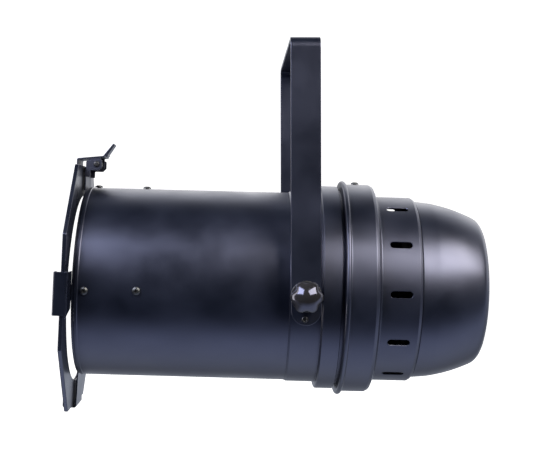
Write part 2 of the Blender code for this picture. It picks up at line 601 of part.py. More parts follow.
def build_sockets():
    """DMX in and out, the mains inlet, and the fuse holder with its cap."""
    flange = (PANEL_X[1] + GAP, PANEL_X[1] + GAP + 1.5 * MM)
    back = 164.0 * MM
    for label, y in DMX_PLACES:
        floor = flange[1] - 12.0 * MM
        profile = [(floor, 0.0), (floor, 8.0 * MM), (flange[1], 8.0 * MM), (flange[1], 12.6 * MM),
                   (flange[0], 13.2 * MM), (flange[0], DMX_RADIUS), (back, DMX_RADIUS), (back, 0.0)]
        socket = turned(label, profile, ALONG_X, LAMP, STEEL, location=(0.0, y, DMX_HEIGHT),
                        segments=SMALL_SEGMENTS)
        for pin, angle in enumerate((90, 210, 330)):
            across = 3.6 * MM * math.cos(math.radians(angle))
            up = 3.6 * MM * math.sin(math.radians(angle))
            contact = rod(f"{label}_contact_{pin}", 1.1 * MM, floor - 4.0 * MM, floor + 7.0 * MM,
                          ALONG_X, LAMP, None, CUTTERS,
                          location=(0.0, y + across, DMX_HEIGHT + up), segments=8)
            if label == "dmx_in":
                join(socket, contact)
            else:
                cut(socket, contact)
    y, z = INLET_CENTRE
    half_y, half_z = INLET_SIZE[0] / 2, INLET_SIZE[1] / 2
    inlet = box("power_inlet", (back, y - half_y, z - half_z), (flange[1], y + half_y, z + half_z),
                LAMP, PLASTIC)
    rim = box("inlet_rim", (flange[0], y - half_y - 2.4 * MM, z - half_z - 2.4 * MM),
              (flange[1] - 0.2 * MM, y + half_y + 2.4 * MM, z + half_z + 2.4 * MM), LAMP, None, CUTTERS)
    well = box("inlet_well", (flange[1] - 15.0 * MM, y - half_y + 2.0 * MM, z - half_z + 2.0 * MM),
               (flange[1] + 5.0 * MM, y + half_y - 2.0 * MM, z + half_z - 2.0 * MM), LAMP, None,
               CUTTERS)
    cut(join(inlet, rim), well)
    for pin, (across, up) in enumerate(((-7.0, -2.0), (0.0, 2.0), (7.0, -2.0))):
        blade_y, blade_z = y + across * MM, z + up * MM
        join(inlet, box(f"inlet_pin_{pin}",
                        (flange[1] - 19.0 * MM, blade_y - 1.0 * MM, blade_z - 2.0 * MM),
                        (flange[1] - 4.0 * MM, blade_y + 1.0 * MM, blade_z + 2.0 * MM),
                        LAMP, None, CUTTERS))
    holder = [(flange[0] - 2.0 * MM, 4.6 * MM), (flange[0] - 2.0 * MM, FUSE_RADIUS),
              (166.0 * MM, FUSE_RADIUS), (166.0 * MM, 0.0)]
    seat = [(168.0 * MM, 0.0), (168.0 * MM, 4.6 * MM)]
    turned("fuse_holder", seat + holder, ALONG_X, LAMP, PLASTIC, location=(0.0, *FUSE_CENTRE),
           segments=SMALL_SEGMENTS)
    cap_top = LAMP_END - 0.2 * MM
    cap = [(cap_top, 0.0), (cap_top, 5.6 * MM), (cap_top - 0.5 * MM, 6.6 * MM),
           (flange[0], 7.2 * MM), (flange[0], 4.3 * MM), (172.0 * MM, 4.3 * MM), (172.0 * MM, 0.0)]
    fuse_cap = turned("fuse_cap", cap, ALONG_X, LAMP, PLASTIC, location=(0.0, *FUSE_CENTRE),
                      segments=SMALL_SEGMENTS)
    cut(fuse_cap, box("fuse_cap_slot", (cap_top - 0.8 * MM, -4.5 * MM, FUSE_CENTRE[1] - 0.7 * MM),
                      (cap_top + 1.0 * MM, 4.5 * MM, FUSE_CENTRE[1] + 0.7 * MM), LAMP, None, CUTTERS))


# ---------------------------------------------------------------- colour frame, clips, latch

def octagon(inset):
    """The colour frame's outline, with its corners cut at 45 degrees or nearly so."""
    across, up = (half - inset for half in FRAME_HALF)
    corner = FRAME_CORNER - inset * 0.4
    right = [(across, -corner), (across, corner), (corner, up)]
    left = [(-corner, up), (-across, corner), (-across, -corner)]
    return [(y, z - FRAME_DROP) for y, z in (*right, *left, (-corner, -up), (corner, -up))]


def build_colour_frame():
    """A folded sheet frame: two leaves with a slot for the colour sheet, open at the top."""
    depth = FRAME_X[1] - FRAME_X[0]
    middle = sum(FRAME_X) / 2
    leaf = 1.2 * MM
    frame = plate("colour_frame", octagon(0.0), depth, FACING_X, NOSE, BLACK,
                  location=(middle, 0.0, 0.0),
                  holes=[circle((0.0, -APERTURE_DROP), APERTURE_RADIUS, SEGMENTS)])
    slot = plate("sheet_slot", octagon(3.0 * MM), depth - 2 * leaf, FACING_X, NOSE, None, CUTTERS,
                 location=(middle, 0.0, 0.0))
    mouth = box("sheet_mouth", (FRAME_X[0] + leaf, -50.0 * MM, 110.0 * MM),
                (FRAME_X[1] - leaf, 50.0 * MM, 130.0 * MM), NOSE, None, CUTTERS)
    cut(frame, slot, mouth)


def build_clips():
    """Three channels that hold the colour frame at its near side, far side and bottom."""
    side = (FRAME_HALF[0] + GAP, 95.0 * MM, CLIP_SAG)
    low = (FRAME_HALF[1] + GAP, 90.6 * MM, 0.0)
    foot_end = -205.0 * MM
    for label, angle, (web, foot_out, sag) in (("near", NEAR, side), ("far", FAR, side),
                                               ("bottom", BOTTOM, low)):
        lip = web - 11.0 * MM
        foot_in = foot_out - SHEET
        outline = [(CLIP_X[0], lip), (CLIP_X[0] + SHEET, lip), (CLIP_X[0] + SHEET, web),
                   (CLIP_X[1] - SHEET, web), (CLIP_X[1] - SHEET, foot_in), (CLIP_X[1], foot_in),
                   (CLIP_X[1], web + SHEET), (CLIP_X[0], web + SHEET)]
        clip = radial_plate("clip_" + label, outline, CLIP_WIDTH, angle, sag, BLACK, PARTS)
        foot = [(CLIP_X[1] - SHEET, foot_in), (foot_end, foot_in), (foot_end, foot_out),
                (CLIP_X[1] - SHEET, foot_out)]
        cut(join(clip, radial_plate("foot_" + label, foot, 16.0 * MM, angle, sag, None, CUTTERS)),
            DRILLS)


def radial_plate(name, outline, depth, angle, sag, material, collection):
    """An outline of (x, distance from the colour frame's centre), swung round to an angle."""
    thing = plate(name, outline, depth, FACING_Y, NOSE, material, collection)
    thing.data.transform(thing.matrix_basis)
    thing.matrix_basis = Matrix.Identity(4)
    thing.rotation_euler = outward(angle)
    thing.location = (0.0, 0.0, -FRAME_DROP - sag)
    return thing


def build_latch():
    """A bracket on the barrel's top, with a hook that swings on a pin between its ears."""
    half = 21.0 * MM
    foot_out = 95.8 * MM
    foot_in = foot_out - SHEET
    leg_rear = LATCH_LEG_REAR
    leg_top = 118.5 * MM
    bracket = box("latch_bracket", (leg_rear - SHEET, -half, foot_in), (leg_rear, half, leg_top),
                  LAMP, BLACK)
    foot = box("latch_foot", (leg_rear - SHEET / 2, -8.0 * MM, foot_in), (-205.0 * MM, 8.0 * MM, foot_out),
               LAMP, None, CUTTERS)
    ear = polygon([(-227.0, 108.4), (-221.4, 108.4), (-221.4, 115.2), (-212.7, 115.2), (-209.4, 118.6),
                   (-209.4, 126.8), (-225.8, 124.9), (-225.8, 118.2), (-227.0, 118.2)])
    join(bracket, foot)
    for label, _, sign in SIDES:
        join(bracket, plate("latch_ear_" + label, ear, SHEET, FACING_Y, LAMP, None, CUTTERS,
                            location=(0.0, sign * (half - SHEET / 2), 0.0)))
    pin_hole = rod("latch_pin_hole", 2.3 * MM, -30.0 * MM, 30.0 * MM, ALONG_NEAR, LAMP, None, CUTTERS,
                   location=(LATCH_PIVOT[0], 0.0, LATCH_PIVOT[1]), segments=SCREW_SEGMENTS)
    cut(bracket, DRILLS, pin_hole)
    head = half + GAP
    pin = [(head + 1.4 * MM, 0.0), (head + 1.0 * MM, 2.4 * MM), (head, 3.4 * MM), (head, 2.0 * MM),
           (-head, 2.0 * MM), (-head, 3.4 * MM), (-head - 1.0 * MM, 2.4 * MM), (-head - 1.4 * MM, 0.0)]
    turned("latch_pin", pin, ALONG_NEAR, LAMP, STEEL, location=(LATCH_PIVOT[0], 0.0, LATCH_PIVOT[1]),
           segments=SCREW_SEGMENTS)
    build_hook(half - SHEET - 0.5 * MM)
    build_spring()


def build_hook(half):
    """The moving hook: a web with a front lip, two cheeks on the pin and a finger lever."""
    pivot = (LATCH_PIVOT[0], 0.0, LATCH_PIVOT[1])
    web = polygon([(-235.7, 112.0), (-234.2, 112.0), (-234.2, 126.1), (-207.0, 129.4),
                   (-207.0, 130.9), (-234.7, 127.7), (-235.7, 126.6)])
    cheek = polygon([(-223.5, 127.9), (-223.5, 119.5), (-219.5, 115.4), (-214.2, 115.4),
                     (-211.2, 118.9), (-211.2, 129.4)])
    lever = polygon([(-211.0, 129.8), (-207.6, 129.7), (-204.8, 131.0), (-198.0, 143.3),
                     (-199.6, 144.6)])
    hook = pivoted("latch_hook", web, 2 * half, 0.0, BLACK, PARTS)
    for label, _, sign in SIDES:
        join(hook, pivoted("latch_cheek_" + label, cheek, SHEET, sign * (half - SHEET / 2), None, CUTTERS))
    join(hook, pivoted("latch_lever", lever, 18.0 * MM, 0.0, None, CUTTERS))
    cut(hook, rod("hook_pin_hole", 2.3 * MM, -30.0 * MM, 30.0 * MM, ALONG_NEAR, LAMP, None, CUTTERS,
                  location=pivot, segments=SCREW_SEGMENTS))


def pivoted(name, outline, depth, across, material, collection):
    """A plate in the lamp's XZ plane whose origin is on the latch's pin."""
    x, z = LATCH_PIVOT
    moved = [(px - x, pz - z) for px, pz in outline]
    return plate(name, moved, depth, FACING_Y, LAMP, material, collection, location=(x, across, z))


def build_spring():
    """The torsion spring's coil, round the latch's pin."""
    turns = 5
    steps = 12
    length = 11.0 * MM
    radius = 3.3 * MM
    curve = bpy.data.curves.new("latch_spring", 'CURVE')
    curve.dimensions = '3D'
    curve.bevel_depth = 0.5 * MM
    curve.bevel_resolution = 1
    curve.use_fill_caps = True
    spline = curve.splines.new('POLY')
    spline.points.add(turns * steps)
    for index, point in enumerate(spline.points):
        angle = math.tau * index / steps
        along = length * (index / (turns * steps) - 0.5)
        point.co = (radius * math.cos(angle), along, radius * math.sin(angle), 1.0)
    spring = bpy.data.objects.new("latch_spring", curve)
    spring.location = (LATCH_PIVOT[0], 0.0, LATCH_PIVOT[1])
    place(spring, LAMP, ZINC, PARTS)


# ---------------------------------------------------------------- inside the lamp

def build_optics():
    """The front glass in its ring, and the reflector with the emitter on its board."""
    ring_out = BARREL_BORE - GAP
    ring_in = 93.8 * MM
    front = -171.0 * MM
    rear = -157.0 * MM
    lip = 1.5 * MM
    ring = [(rear, ring_in), (rear, ring_out), (front, ring_out), (front, 88.0 * MM),
            (front + lip, 88.0 * MM), (front + lip, ring_in)]
    cut(turned("glass_ring", ring, ALONG_X, LAMP, BLACK, segments=INNER_SEGMENTS), DRILLS)
    glass = (front + lip + GAP, front + lip + GAP + 3.0 * MM)
    rod("front_glass", ring_in - GAP, glass[0], glass[1], ALONG_X, LAMP, GLASS,
        segments=INNER_SEGMENTS)
    rim_x = -18.6 * MM
    vertex = 49.0 * MM
    focal = 30.0 * MM
    wall = 1.2 * MM
    throat_x = 46.5 * MM
    bowl = []
    steps = 5
    for step in range(steps + 1):
        x = rim_x + (throat_x - rim_x) * (1.0 - (1.0 - step / steps) ** 1.6)
        bowl.append((x, math.sqrt(4 * focal * (vertex - x))))
    outer = [(x, radius + wall) for x, radius in reversed(bowl)]
    rim = [(rim_x, ring_out), (rim_x - wall, ring_out), (rim_x - wall, bowl[0][1])]
    turned("reflector", outer + rim + bowl, ALONG_X, LAMP, BRIGHT, segments=INNER_SEGMENTS)
    rod("led_emitter", 14.0 * MM, 46.9 * MM, 49.6 * MM, ALONG_X, LAMP, PHOSPHOR)
    rod("led_board", 42.0 * MM, BULKHEAD_X[0], BULKHEAD_X[1], ALONG_X, LAMP, BOARD, segments=INNER_SEGMENTS)
    front, rear = BULKHEAD_X
    flange = BELL_RADIUS - 3.3 * MM
    bulkhead = [(62.0 * MM, flange - 2.5 * MM), (62.0 * MM, flange), (front, flange),
                (front, 42.4 * MM), (rear, 42.4 * MM), (rear, flange - 2.5 * MM)]
    cut(turned("bulkhead", bulkhead, ALONG_X, LAMP, BLACK, segments=SEGMENTS), BELL_DRILL)


def build_heatsink():
    """A base plate with straight radial fins round a core."""
    fins = 21
    core = 24.0 * MM
    reach = 70.0 * MM
    half_fin = 1.2 * MM
    base = (51.8 * MM, 57.0 * MM)
    end = 100.0 * MM
    outline = []
    for fin in range(fins):
        angle = math.tau * fin / fins
        along = (math.cos(angle), math.sin(angle))
        across = (-along[1], along[0])
        for radius, side in ((core, -half_fin), (reach, -half_fin), (reach, half_fin), (core, half_fin)):
            outline.append((along[0] * radius + across[0] * side, along[1] * radius + across[1] * side))
    start = base[0] + 1.0 * MM
    heatsink = plate("heatsink", outline, end - start, FACING_X, LAMP, BLACK,
                     location=((start + end) / 2, 0.0, 0.0))
    join(heatsink, rod("heatsink_base", reach + 1.5 * MM, base[0], base[1], ALONG_X, LAMP, None, CUTTERS,
                       segments=SEGMENTS))


def build_fan():
    """A square fan frame with its rotor, behind the heatsink."""
    half = 40.0 * MM
    corner = 4.0 * MM
    inset = half - corner
    front = 100.4 * MM
    rear = 115.4 * MM
    outline = [*arc((inset, inset), corner, 0, 90, 3), *arc((-inset, inset), corner, 90, 180, 3),
               *arc((-inset, -inset), corner, 180, 270, 3), *arc((inset, -inset), corner, 270, 360, 3)]
    frame = plate("fan_frame", outline, rear - front, FACING_X, LAMP, PLASTIC,
                  location=((front + rear) / 2, 0.0, 0.0), holes=[circle((0.0, 0.0), 38.2 * MM, SEGMENTS)])
    spoke = 2.0 * MM
    spider_front = rear - 2.6 * MM
    reach = 39.0 * MM
    join(frame,
         box("fan_spoke_across", (spider_front, -reach, -spoke), (rear - 0.2 * MM, reach, spoke),
             LAMP, None, CUTTERS),
         box("fan_spoke_up", (spider_front + 0.1 * MM, -spoke, -reach),
             (rear - 0.3 * MM, spoke, reach), LAMP, None, CUTTERS),
         rod("fan_motor_plate", 13.0 * MM, spider_front - 0.1 * MM, rear - 0.1 * MM, ALONG_X,
             LAMP, None, CUTTERS))
    rotor = rod("fan_rotor", 13.0 * MM, 102.0 * MM, spider_front - 0.5 * MM, ALONG_X, LAMP, PLASTIC)
    join(rotor, blade_cutter())


def blade_cutter():
    blades = 7
    pitch = Matrix.Rotation(math.radians(35), 4, 'Z')
    bm = bmesh.new()
    for index in range(blades):
        turn = Matrix.Rotation(math.tau * index / blades, 4, 'X')
        shift = Matrix.Translation((106.9 * MM, 0.0, 24.3 * MM))
        size = Matrix.Diagonal((1.6 * MM, 12.0 * MM, 24.2 * MM, 1.0))
        bmesh.ops.create_cube(bm, size=1.0, matrix=turn @ shift @ pitch @ size)
    return place(object_from(bm, "fan_blades"), LAMP, None, CUTTERS)


def build_driver():
    """The LED driver on a tray across the dome's mouth, with holes for the air."""
    tray = (118.0 * MM, 119.5 * MM)
    holes = [circle((0.0, 0.0), 26.0 * MM)]
    for angle in range(30, 390, 60):
        turn = math.radians(angle)
        holes.append(circle((56.0 * MM * math.cos(turn), 56.0 * MM * math.sin(turn)), 12.0 * MM))
    plate("driver_tray", circle((0.0, 0.0), 86.8 * MM, SEGMENTS), tray[1] - tray[0], FACING_X, LAMP,
          BLACK, location=(sum(tray) / 2, 0.0, 0.0), holes=holes)
    box("led_driver", (tray[1] + GAP, -46.0 * MM, -58.0 * MM), (158.0 * MM, 46.0 * MM, -20.0 * MM), LAMP,
        ALUMINIUM)


def build_side_screws():
    for row, x, seat, sag in SCREW_ROWS:
        for label, angle in row_angles(sag):
            pan_screw(f"{row}_screw_{label}", seat + GAP, 4.4 * MM, outward(angle), LAMP, (x, 0.0, 0.0))
    pan_screw("bell_screw_top", BELL_RADIUS + GAP, 6.0 * MM, outward(TOP), LAMP,
              (BELL_SCREWS_X, 0.0, 0.0))


def main():
    build_yoke()
    build_arm_hardware()
    build_pivots()
    build_barrel()
    build_housing()
    build_bell()
    build_vent_ring()
    build_dome()
    build_panel()
    build_controls()
    build_sockets()
    build_colour_frame()
    build_clips()
    build_latch()
    build_optics()
    build_heatsink()
    build_fan()
    build_driver()
    build_side_screws()


main()
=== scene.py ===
# The looks of a long-barrelled LED par can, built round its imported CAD.  Lengths are millimetres
# in the lamp frame: its origin is on the lamp's axis above the tilt axis, X runs from the front
# (-) to the rear (+), and Z is up.  The yoke is built in the row frame.
import json
from math import atan2, cos, degrees, pi, radians, sin, sqrt, tan, tau
import random

import bmesh
import bpy
from mathutils import Matrix, Vector


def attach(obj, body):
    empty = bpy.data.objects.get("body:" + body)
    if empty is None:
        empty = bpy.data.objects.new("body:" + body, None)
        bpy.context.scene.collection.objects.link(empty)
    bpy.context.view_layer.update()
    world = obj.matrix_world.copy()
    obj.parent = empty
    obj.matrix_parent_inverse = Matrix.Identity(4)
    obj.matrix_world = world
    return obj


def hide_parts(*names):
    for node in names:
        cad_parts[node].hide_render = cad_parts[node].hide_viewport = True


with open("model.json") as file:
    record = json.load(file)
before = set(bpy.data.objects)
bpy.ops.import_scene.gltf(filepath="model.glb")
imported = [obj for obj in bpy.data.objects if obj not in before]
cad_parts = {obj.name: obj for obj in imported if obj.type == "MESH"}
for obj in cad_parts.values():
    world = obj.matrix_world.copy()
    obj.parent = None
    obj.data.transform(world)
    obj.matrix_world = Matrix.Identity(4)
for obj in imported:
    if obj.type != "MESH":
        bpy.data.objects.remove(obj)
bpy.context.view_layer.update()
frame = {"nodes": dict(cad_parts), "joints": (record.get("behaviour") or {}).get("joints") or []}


def shift(x, y, z):
    return Matrix.Translation((x, y, z))


MM = 0.001
TINY = 1e-6
ROUND = 192                     # segments round the big shells
MEDIUM = 96
SMALL = 48
SHARP = radians(38)             # edges that turn more than this stay crisp

JOINTS = {joint["name"]: joint for joint in frame["joints"]}
PIVOT = Vector(JOINTS["yoke_tilt"]["pos_m"])
FAN_AXIS = Vector(JOINTS["fan_spin"]["axis"])
REST_TILT = atan2(-FAN_AXIS.z, FAN_AXIS.x)
ROW = Matrix.Identity(4)
PIVOT_DROP = 2.3                # millimetres from the lamp's own axis down to the tilt axis
HUB = Matrix.Translation(PIVOT) @ Matrix.Rotation(REST_TILT, 4, 'Y')
LAMP = HUB @ shift(0, 0, PIVOT_DROP * MM)
AT_PIVOT = Matrix.Translation(PIVOT)

# Shapes are turned about their own X axis, and outlines are drawn in XY and thickened along Z.
ALONG_NEAR = Matrix.Rotation(-pi / 2, 4, 'Z')
ALONG_FAR = Matrix.Rotation(pi / 2, 4, 'Z')
FACING_Y = Matrix.Rotation(pi / 2, 4, 'X')
FACING_X = Matrix.Rotation(pi / 2, 4, 'Z') @ Matrix.Rotation(pi / 2, 4, 'X')
SIDES = (("near", ALONG_NEAR, -1), ("far", ALONG_FAR, 1))

# Driving sizes, as in the CAD
YOKE_HEIGHT = -PIVOT.z / MM
ARM_OUT = 123.0
BAR_WIDTH, BAR_THICKNESS = 29.0, 3.0
ARM_IN = ARM_OUT - BAR_THICKNESS
YOKE_FOOT = 27.8
BEND = 11.0                     # outside radius of the yoke's corners
RIVET_X, RIVET_DROP = -1.4, 22.0    # from the pivot
CLAMP_HOLE, SAFETY_HOLE, PIVOT_HOLE, RIVET_HOLE = 6.5, 4.5, 4.3, 2.1    # radii
SAFETY_Y = 55.0
WASHER_RADIUS, WASHER_THICKNESS, WASHER_BORE = 15.0, 1.2, 4.4
STUD_RADIUS, STUD_END, STUD_BOSS = 3.85, 136.0, 13.0
LEAN = radians(0.95)            # the rim, its clips and the colour frame lean
LEAN_X, LEAN_Z = -229.0, 119.0  # about this line, with the bottom forward
BARREL_FRONT, BARREL_REAR = -224.4, 16.0
RIM_RADIUS, BARREL_RADIUS, BORE = 97.8, 98.6, 96.5
SEAM_ANGLE, SEAM_HEIGHT = 266.0, 0.25
COLLAR_FRONT, COLLAR_REAR, COLLAR_RADIUS = -14.4, 17.2, 100.0
RING_RADIUS, RING_END, SPIGOT_RADIUS = 106.7, 36.0, 102.2
BELL_FRONT, BELL_REAR, BELL_RADIUS, BEAD_RADIUS = 39.2, 76.4, 109.2, 112.7
VENT_START, VENT_END, VENT_RADIUS = 66.0, 117.1, 96.9
SLOT_FRONT, SLOT_REAR, SLOT_WIDTH, SLOT_COUNT = 84.3, 106.3, 6.7, 12
DOME_FRONT = 117.4
PANEL_FRONT, PANEL_REAR, PANEL_RADIUS = 184.5, 186.5, 62.6
FRAME_FRONT, FRAME_REAR, FRAME_DROP = -232.2, -228.2, 4.9
FRAME_HALF, FRAME_CORNER = (116.4, 124.7), 55.8
APERTURE, APERTURE_DROP = 96.7, 7.6
SHEET = 1.5
CLIP_FRONT, CLIP_REAR, CLIP_WIDTH, CLIP_SAG = -239.1, -224.9, 42.0, 1.6
LATCH_X, LATCH_Z = -215.0, 121.9
# Row of screws, its x and seat radius, and the degrees that its side screws sit below the axis
SCREW_ROWS = (("rim", -214.2, 97.85, 2.5), ("glass", -163.7, 98.05, 1.8))
BELL_SCREW_X = 55.8
SCREW_HEAD, PANEL_SCREW_HEAD, PANEL_SCREW_CIRCLE = 4.1, 3.4, 56.0
FOOT_END, FOOT_WIDTH = -205.0, 16.0     # the feet of the clips and of the latch
GAP = 0.3
LEAN_LINE = Vector((LEAN_X, 0, LEAN_Z)) * MM
NOSE = (LAMP @ Matrix.Translation(LEAN_LINE) @ Matrix.Rotation(LEAN, 4, 'Y')
        @ Matrix.Translation(-LEAN_LINE))
FLOOR = -1.15                   # metres below the clamp hole
random.seed(7)


# ---------------------------------- outlines and meshes

def rounded(corners, steps=4):
    """A closed outline whose corners (x, y, radius) become arcs; (x, y) corners stay sharp."""
    outline = []
    count = len(corners)
    for index, corner in enumerate(corners):
        here = Vector(corner[:2])
        if len(corner) < 3 or not corner[2]:
            outline.append(tuple(here))
            continue
        before = Vector(corners[index - 1][:2]) - here
        after = Vector(corners[(index + 1) % count][:2]) - here
        opening = before.angle(after)
        reach = min(corner[2] / tan(opening / 2), 0.49 * before.length, 0.49 * after.length)
        radius = reach * tan(opening / 2)
        middle = (before.normalized() + after.normalized()).normalized()
        centre = here + middle * (radius / sin(opening / 2))
        start = here + before.normalized() * reach - centre
        turn = start.angle_signed(here + after.normalized() * reach - centre)
        for step in range(steps + 1):
            outline.append(tuple(centre + Matrix.Rotation(-turn * step / steps, 2) @ start))
    return outline


def arc(centre, radius, start, end, steps):
    """Points on an arc, from start to end in degrees."""
    points = []
    for step in range(steps + 1):
        angle = radians(start + (end - start) * step / steps)
        points.append((centre[0] + radius * cos(angle), centre[1] + radius * sin(angle)))
    return points


def circle(centre, radius, steps=SMALL):
    return arc(centre, radius, 0, 360, steps)[:-1]


def thirds(radius):
    """Three places (y, z) round the axis, the first at the top."""
    return [(radius * cos(radians(angle)), radius * sin(radians(angle)))
            for angle in (90, 210, 330)]


def revolve(profile, segments=ROUND, swell=None):
    """A closed profile of (x, radius) turned about X; swell(x, angle) adds to the radius."""
    bm = bmesh.new()
    rings = []
    for x, radius in profile:
        if radius < TINY:
            rings.append([bm.verts.new((x, 0.0, 0.0))])
            continue
        ring = []
        for step in range(segments):
            angle = tau * step / segments
            reach = radius + (swell(x, angle) if swell else 0.0)
            ring.append(bm.verts.new((x, reach * cos(angle), reach * sin(angle))))
        rings.append(ring)
    for one, two in zip(rings, rings[1:] + rings[:1]):
        if len(one) == len(two) == 1:
            continue
        for step in range(segments):
            after = (step + 1) % segments
            corners = [one[step % len(one)], one[after % len(one)],
                       two[after % len(two)], two[step % len(two)]]
            bm.faces.new(list(dict.fromkeys(corners)))
    bmesh.ops.recalc_face_normals(bm, faces=bm.faces)
    return bm


def loft(loops):
    """Loops of points joined in their order, and closed at both ends."""
    bm = bmesh.new()
    rings = [[bm.verts.new(point) for point in loop] for loop in loops]
    count = len(rings[0])
    for one, two in zip(rings, rings[1:]):
        for step in range(count):
            after = (step + 1) % count
            bm.faces.new((one[step], one[after], two[after], two[step]))
    bm.faces.new(rings[0])
    bm.faces.new(rings[-1])
    bmesh.ops.recalc_face_normals(bm, faces=bm.faces)
    return bm


def evaluated(thing):
    """An object's mesh with its modifiers applied."""
    bpy.context.view_layer.update()
    mesh = bpy.data.meshes.new_from_object(thing.evaluated_get(
        bpy.context.evaluated_depsgraph_get()))
    bm = bmesh.new()
    bm.from_mesh(mesh)
    bpy.data.meshes.remove(mesh)
    return bm


def slab(outline, thickness, edge=0.25, holes=(), depth_steps=2):
    """A flat outline with holes, thickened along Z, with its edges rounded off."""
    curve = bpy.data.curves.new("outline", 'CURVE')
    curve.dimensions = '2D'
    curve.fill_mode = 'BOTH'
    curve.extrude = thickness / 2 - edge
    curve.bevel_depth = edge
    curve.bevel_resolution = depth_steps
    curve.offset = -edge
    for loop in (outline, *holes):
        spline = curve.splines.new('POLY')
        spline.points.add(len(loop) - 1)
        for point, (x, y) in zip(spline.points, loop):
            point.co = (x, y, 0.0, 1.0)
        spline.use_cyclic_u = True
    thing = bpy.data.objects.new("outline", curve)
    bpy.context.scene.collection.objects.link(thing)
    bm = evaluated(thing)
    bpy.data.objects.remove(thing, do_unlink=True)
    bpy.data.curves.remove(curve)
    bmesh.ops.remove_doubles(bm, verts=bm.verts, dist=0.002)
    bmesh.ops.recalc_face_normals(bm, faces=bm.faces)
    return bm


def moved(bm, matrix):
    bm.transform(matrix)
    return bm


def joined(*parts):
    """Several meshes in one; the first takes the others in."""
    whole = parts[0]
    for part in parts[1:]:
        mesh = bpy.data.meshes.new("part")
        part.to_mesh(mesh)
        part.free()
        whole.from_mesh(mesh)
        bpy.data.meshes.remove(mesh)
    return whole


def to_object(bm, name):
    mesh = bpy.data.meshes.new(name)
    bm.to_mesh(mesh)
    bm.free()
    thing = bpy.data.objects.new(name, mesh)
    bpy.context.scene.collection.objects.link(thing)
    return thing


def boolean(bm, cutter, operation='DIFFERENCE'):
    """One closed mesh cut by, joined with or kept inside another."""
    body = to_object(bm, "body")
    tool = to_object(cutter, "tool")
    modifier = body.modifiers.new("cut", 'BOOLEAN')
    modifier.object = tool
    modifier.operation = operation
    modifier.solver = 'EXACT'
    modifier.use_self = True
    result = evaluated(body)
    for thing in (body, tool):
        old = thing.data
        bpy.data.objects.remove(thing, do_unlink=True)
        bpy.data.meshes.remove(old)
    return result


def piece(name, bm, material, body="lamp", place=LAMP, stands_for=None):
    """The mesh as a named piece: smooth but for its crisp edges, riding on a CAD body."""
    bm.transform(Matrix.Scale(MM, 4))
    for face in bm.faces:
        face.smooth = True
    for edge in bm.edges:
        edge.smooth = len(edge.link_faces) == 2 and edge.calc_face_angle(0.0) < SHARP
    thing = to_object(bm, name)
    thing.data.materials.append(material)
    thing.matrix_world = place
    even = thing.modifiers.new("Even shading", 'WEIGHTED_NORMAL')
    even.keep_sharp = True
    if stands_for:
        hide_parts(stands_for)
    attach(thing, body)
    return thing


# ---------------------------------- materials


def fill(made, values):
    for socket, value in values.items():
        made.inputs[socket].default_value = value


def node(tree, kind, values=None, operation=None):
    """A new node with some inputs' values set."""
    made = tree.nodes.new(kind)
    if operation:
        made.operation = operation
    fill(made, values or {})
    return made


def finish(name, slot, colour, rough, metallic=0.0, spread=0.06, grain=900.0, bump=0.012,
           fade=1.5, mottle=22.0, wear=0.0, worn=(0.22, 0.22, 0.23), tint=(1, 1, 1), specular=0.5):
    """A surface whose colour and roughness drift over centimetres and whose skin has a fine grain.

    fade is how much lighter the colour gets where it drifts, bump is the grain's height in
    millimetres, and wear is how much of the worn colour shows along convex edges."""
    material = bpy.data.materials.new(name)
    material.use_nodes = True
    tree = material.node_tree
    links = tree.links
    shader = tree.nodes["Principled BSDF"]
    fill(shader, {"Metallic": metallic, "Specular IOR Level": specular,
                  "Specular Tint": (*tint, 1.0)})
    where = node(tree, 'ShaderNodeTexCoord')

    drift = node(tree, 'ShaderNodeTexNoise', {"Scale": mottle, "Detail": 5.0})
    links.new(where.outputs["Object"], drift.inputs["Vector"])
    colours = node(tree, 'ShaderNodeValToRGB')
    plain, faded = colours.color_ramp.elements
    plain.position, faded.position = 0.35, 0.72
    plain.color = (*colour, 1.0)
    faded.color = (*[min(1.0, c * fade) for c in colour], 1.0)
    links.new(drift.outputs["Fac"], colours.inputs["Fac"])
    painted = colours.outputs["Color"]
    if wear:
        painted = edge_wear(tree, where, painted, wear, worn)
    links.new(painted, shader.inputs["Base Color"])

    gloss = node(tree, 'ShaderNodeMapRange',
                 {"From Min": 0.3, "From Max": 0.7, "To Min": max(0.02, rough - spread),
                  "To Max": rough + spread})
    links.new(drift.outputs["Fac"], gloss.inputs["Value"])
    links.new(gloss.outputs["Result"], shader.inputs["Roughness"])

    skin = node(tree, 'ShaderNodeTexNoise', {"Scale": grain, "Detail": 2.0})
    links.new(where.outputs["Object"], skin.inputs["Vector"])
    relief = node(tree, 'ShaderNodeBump', {"Strength": 1.0, "Distance": bump * MM})
    links.new(skin.outputs["Fac"], relief.inputs["Height"])
    links.new(relief.outputs["Normal"], shader.inputs["Normal"])
    return material


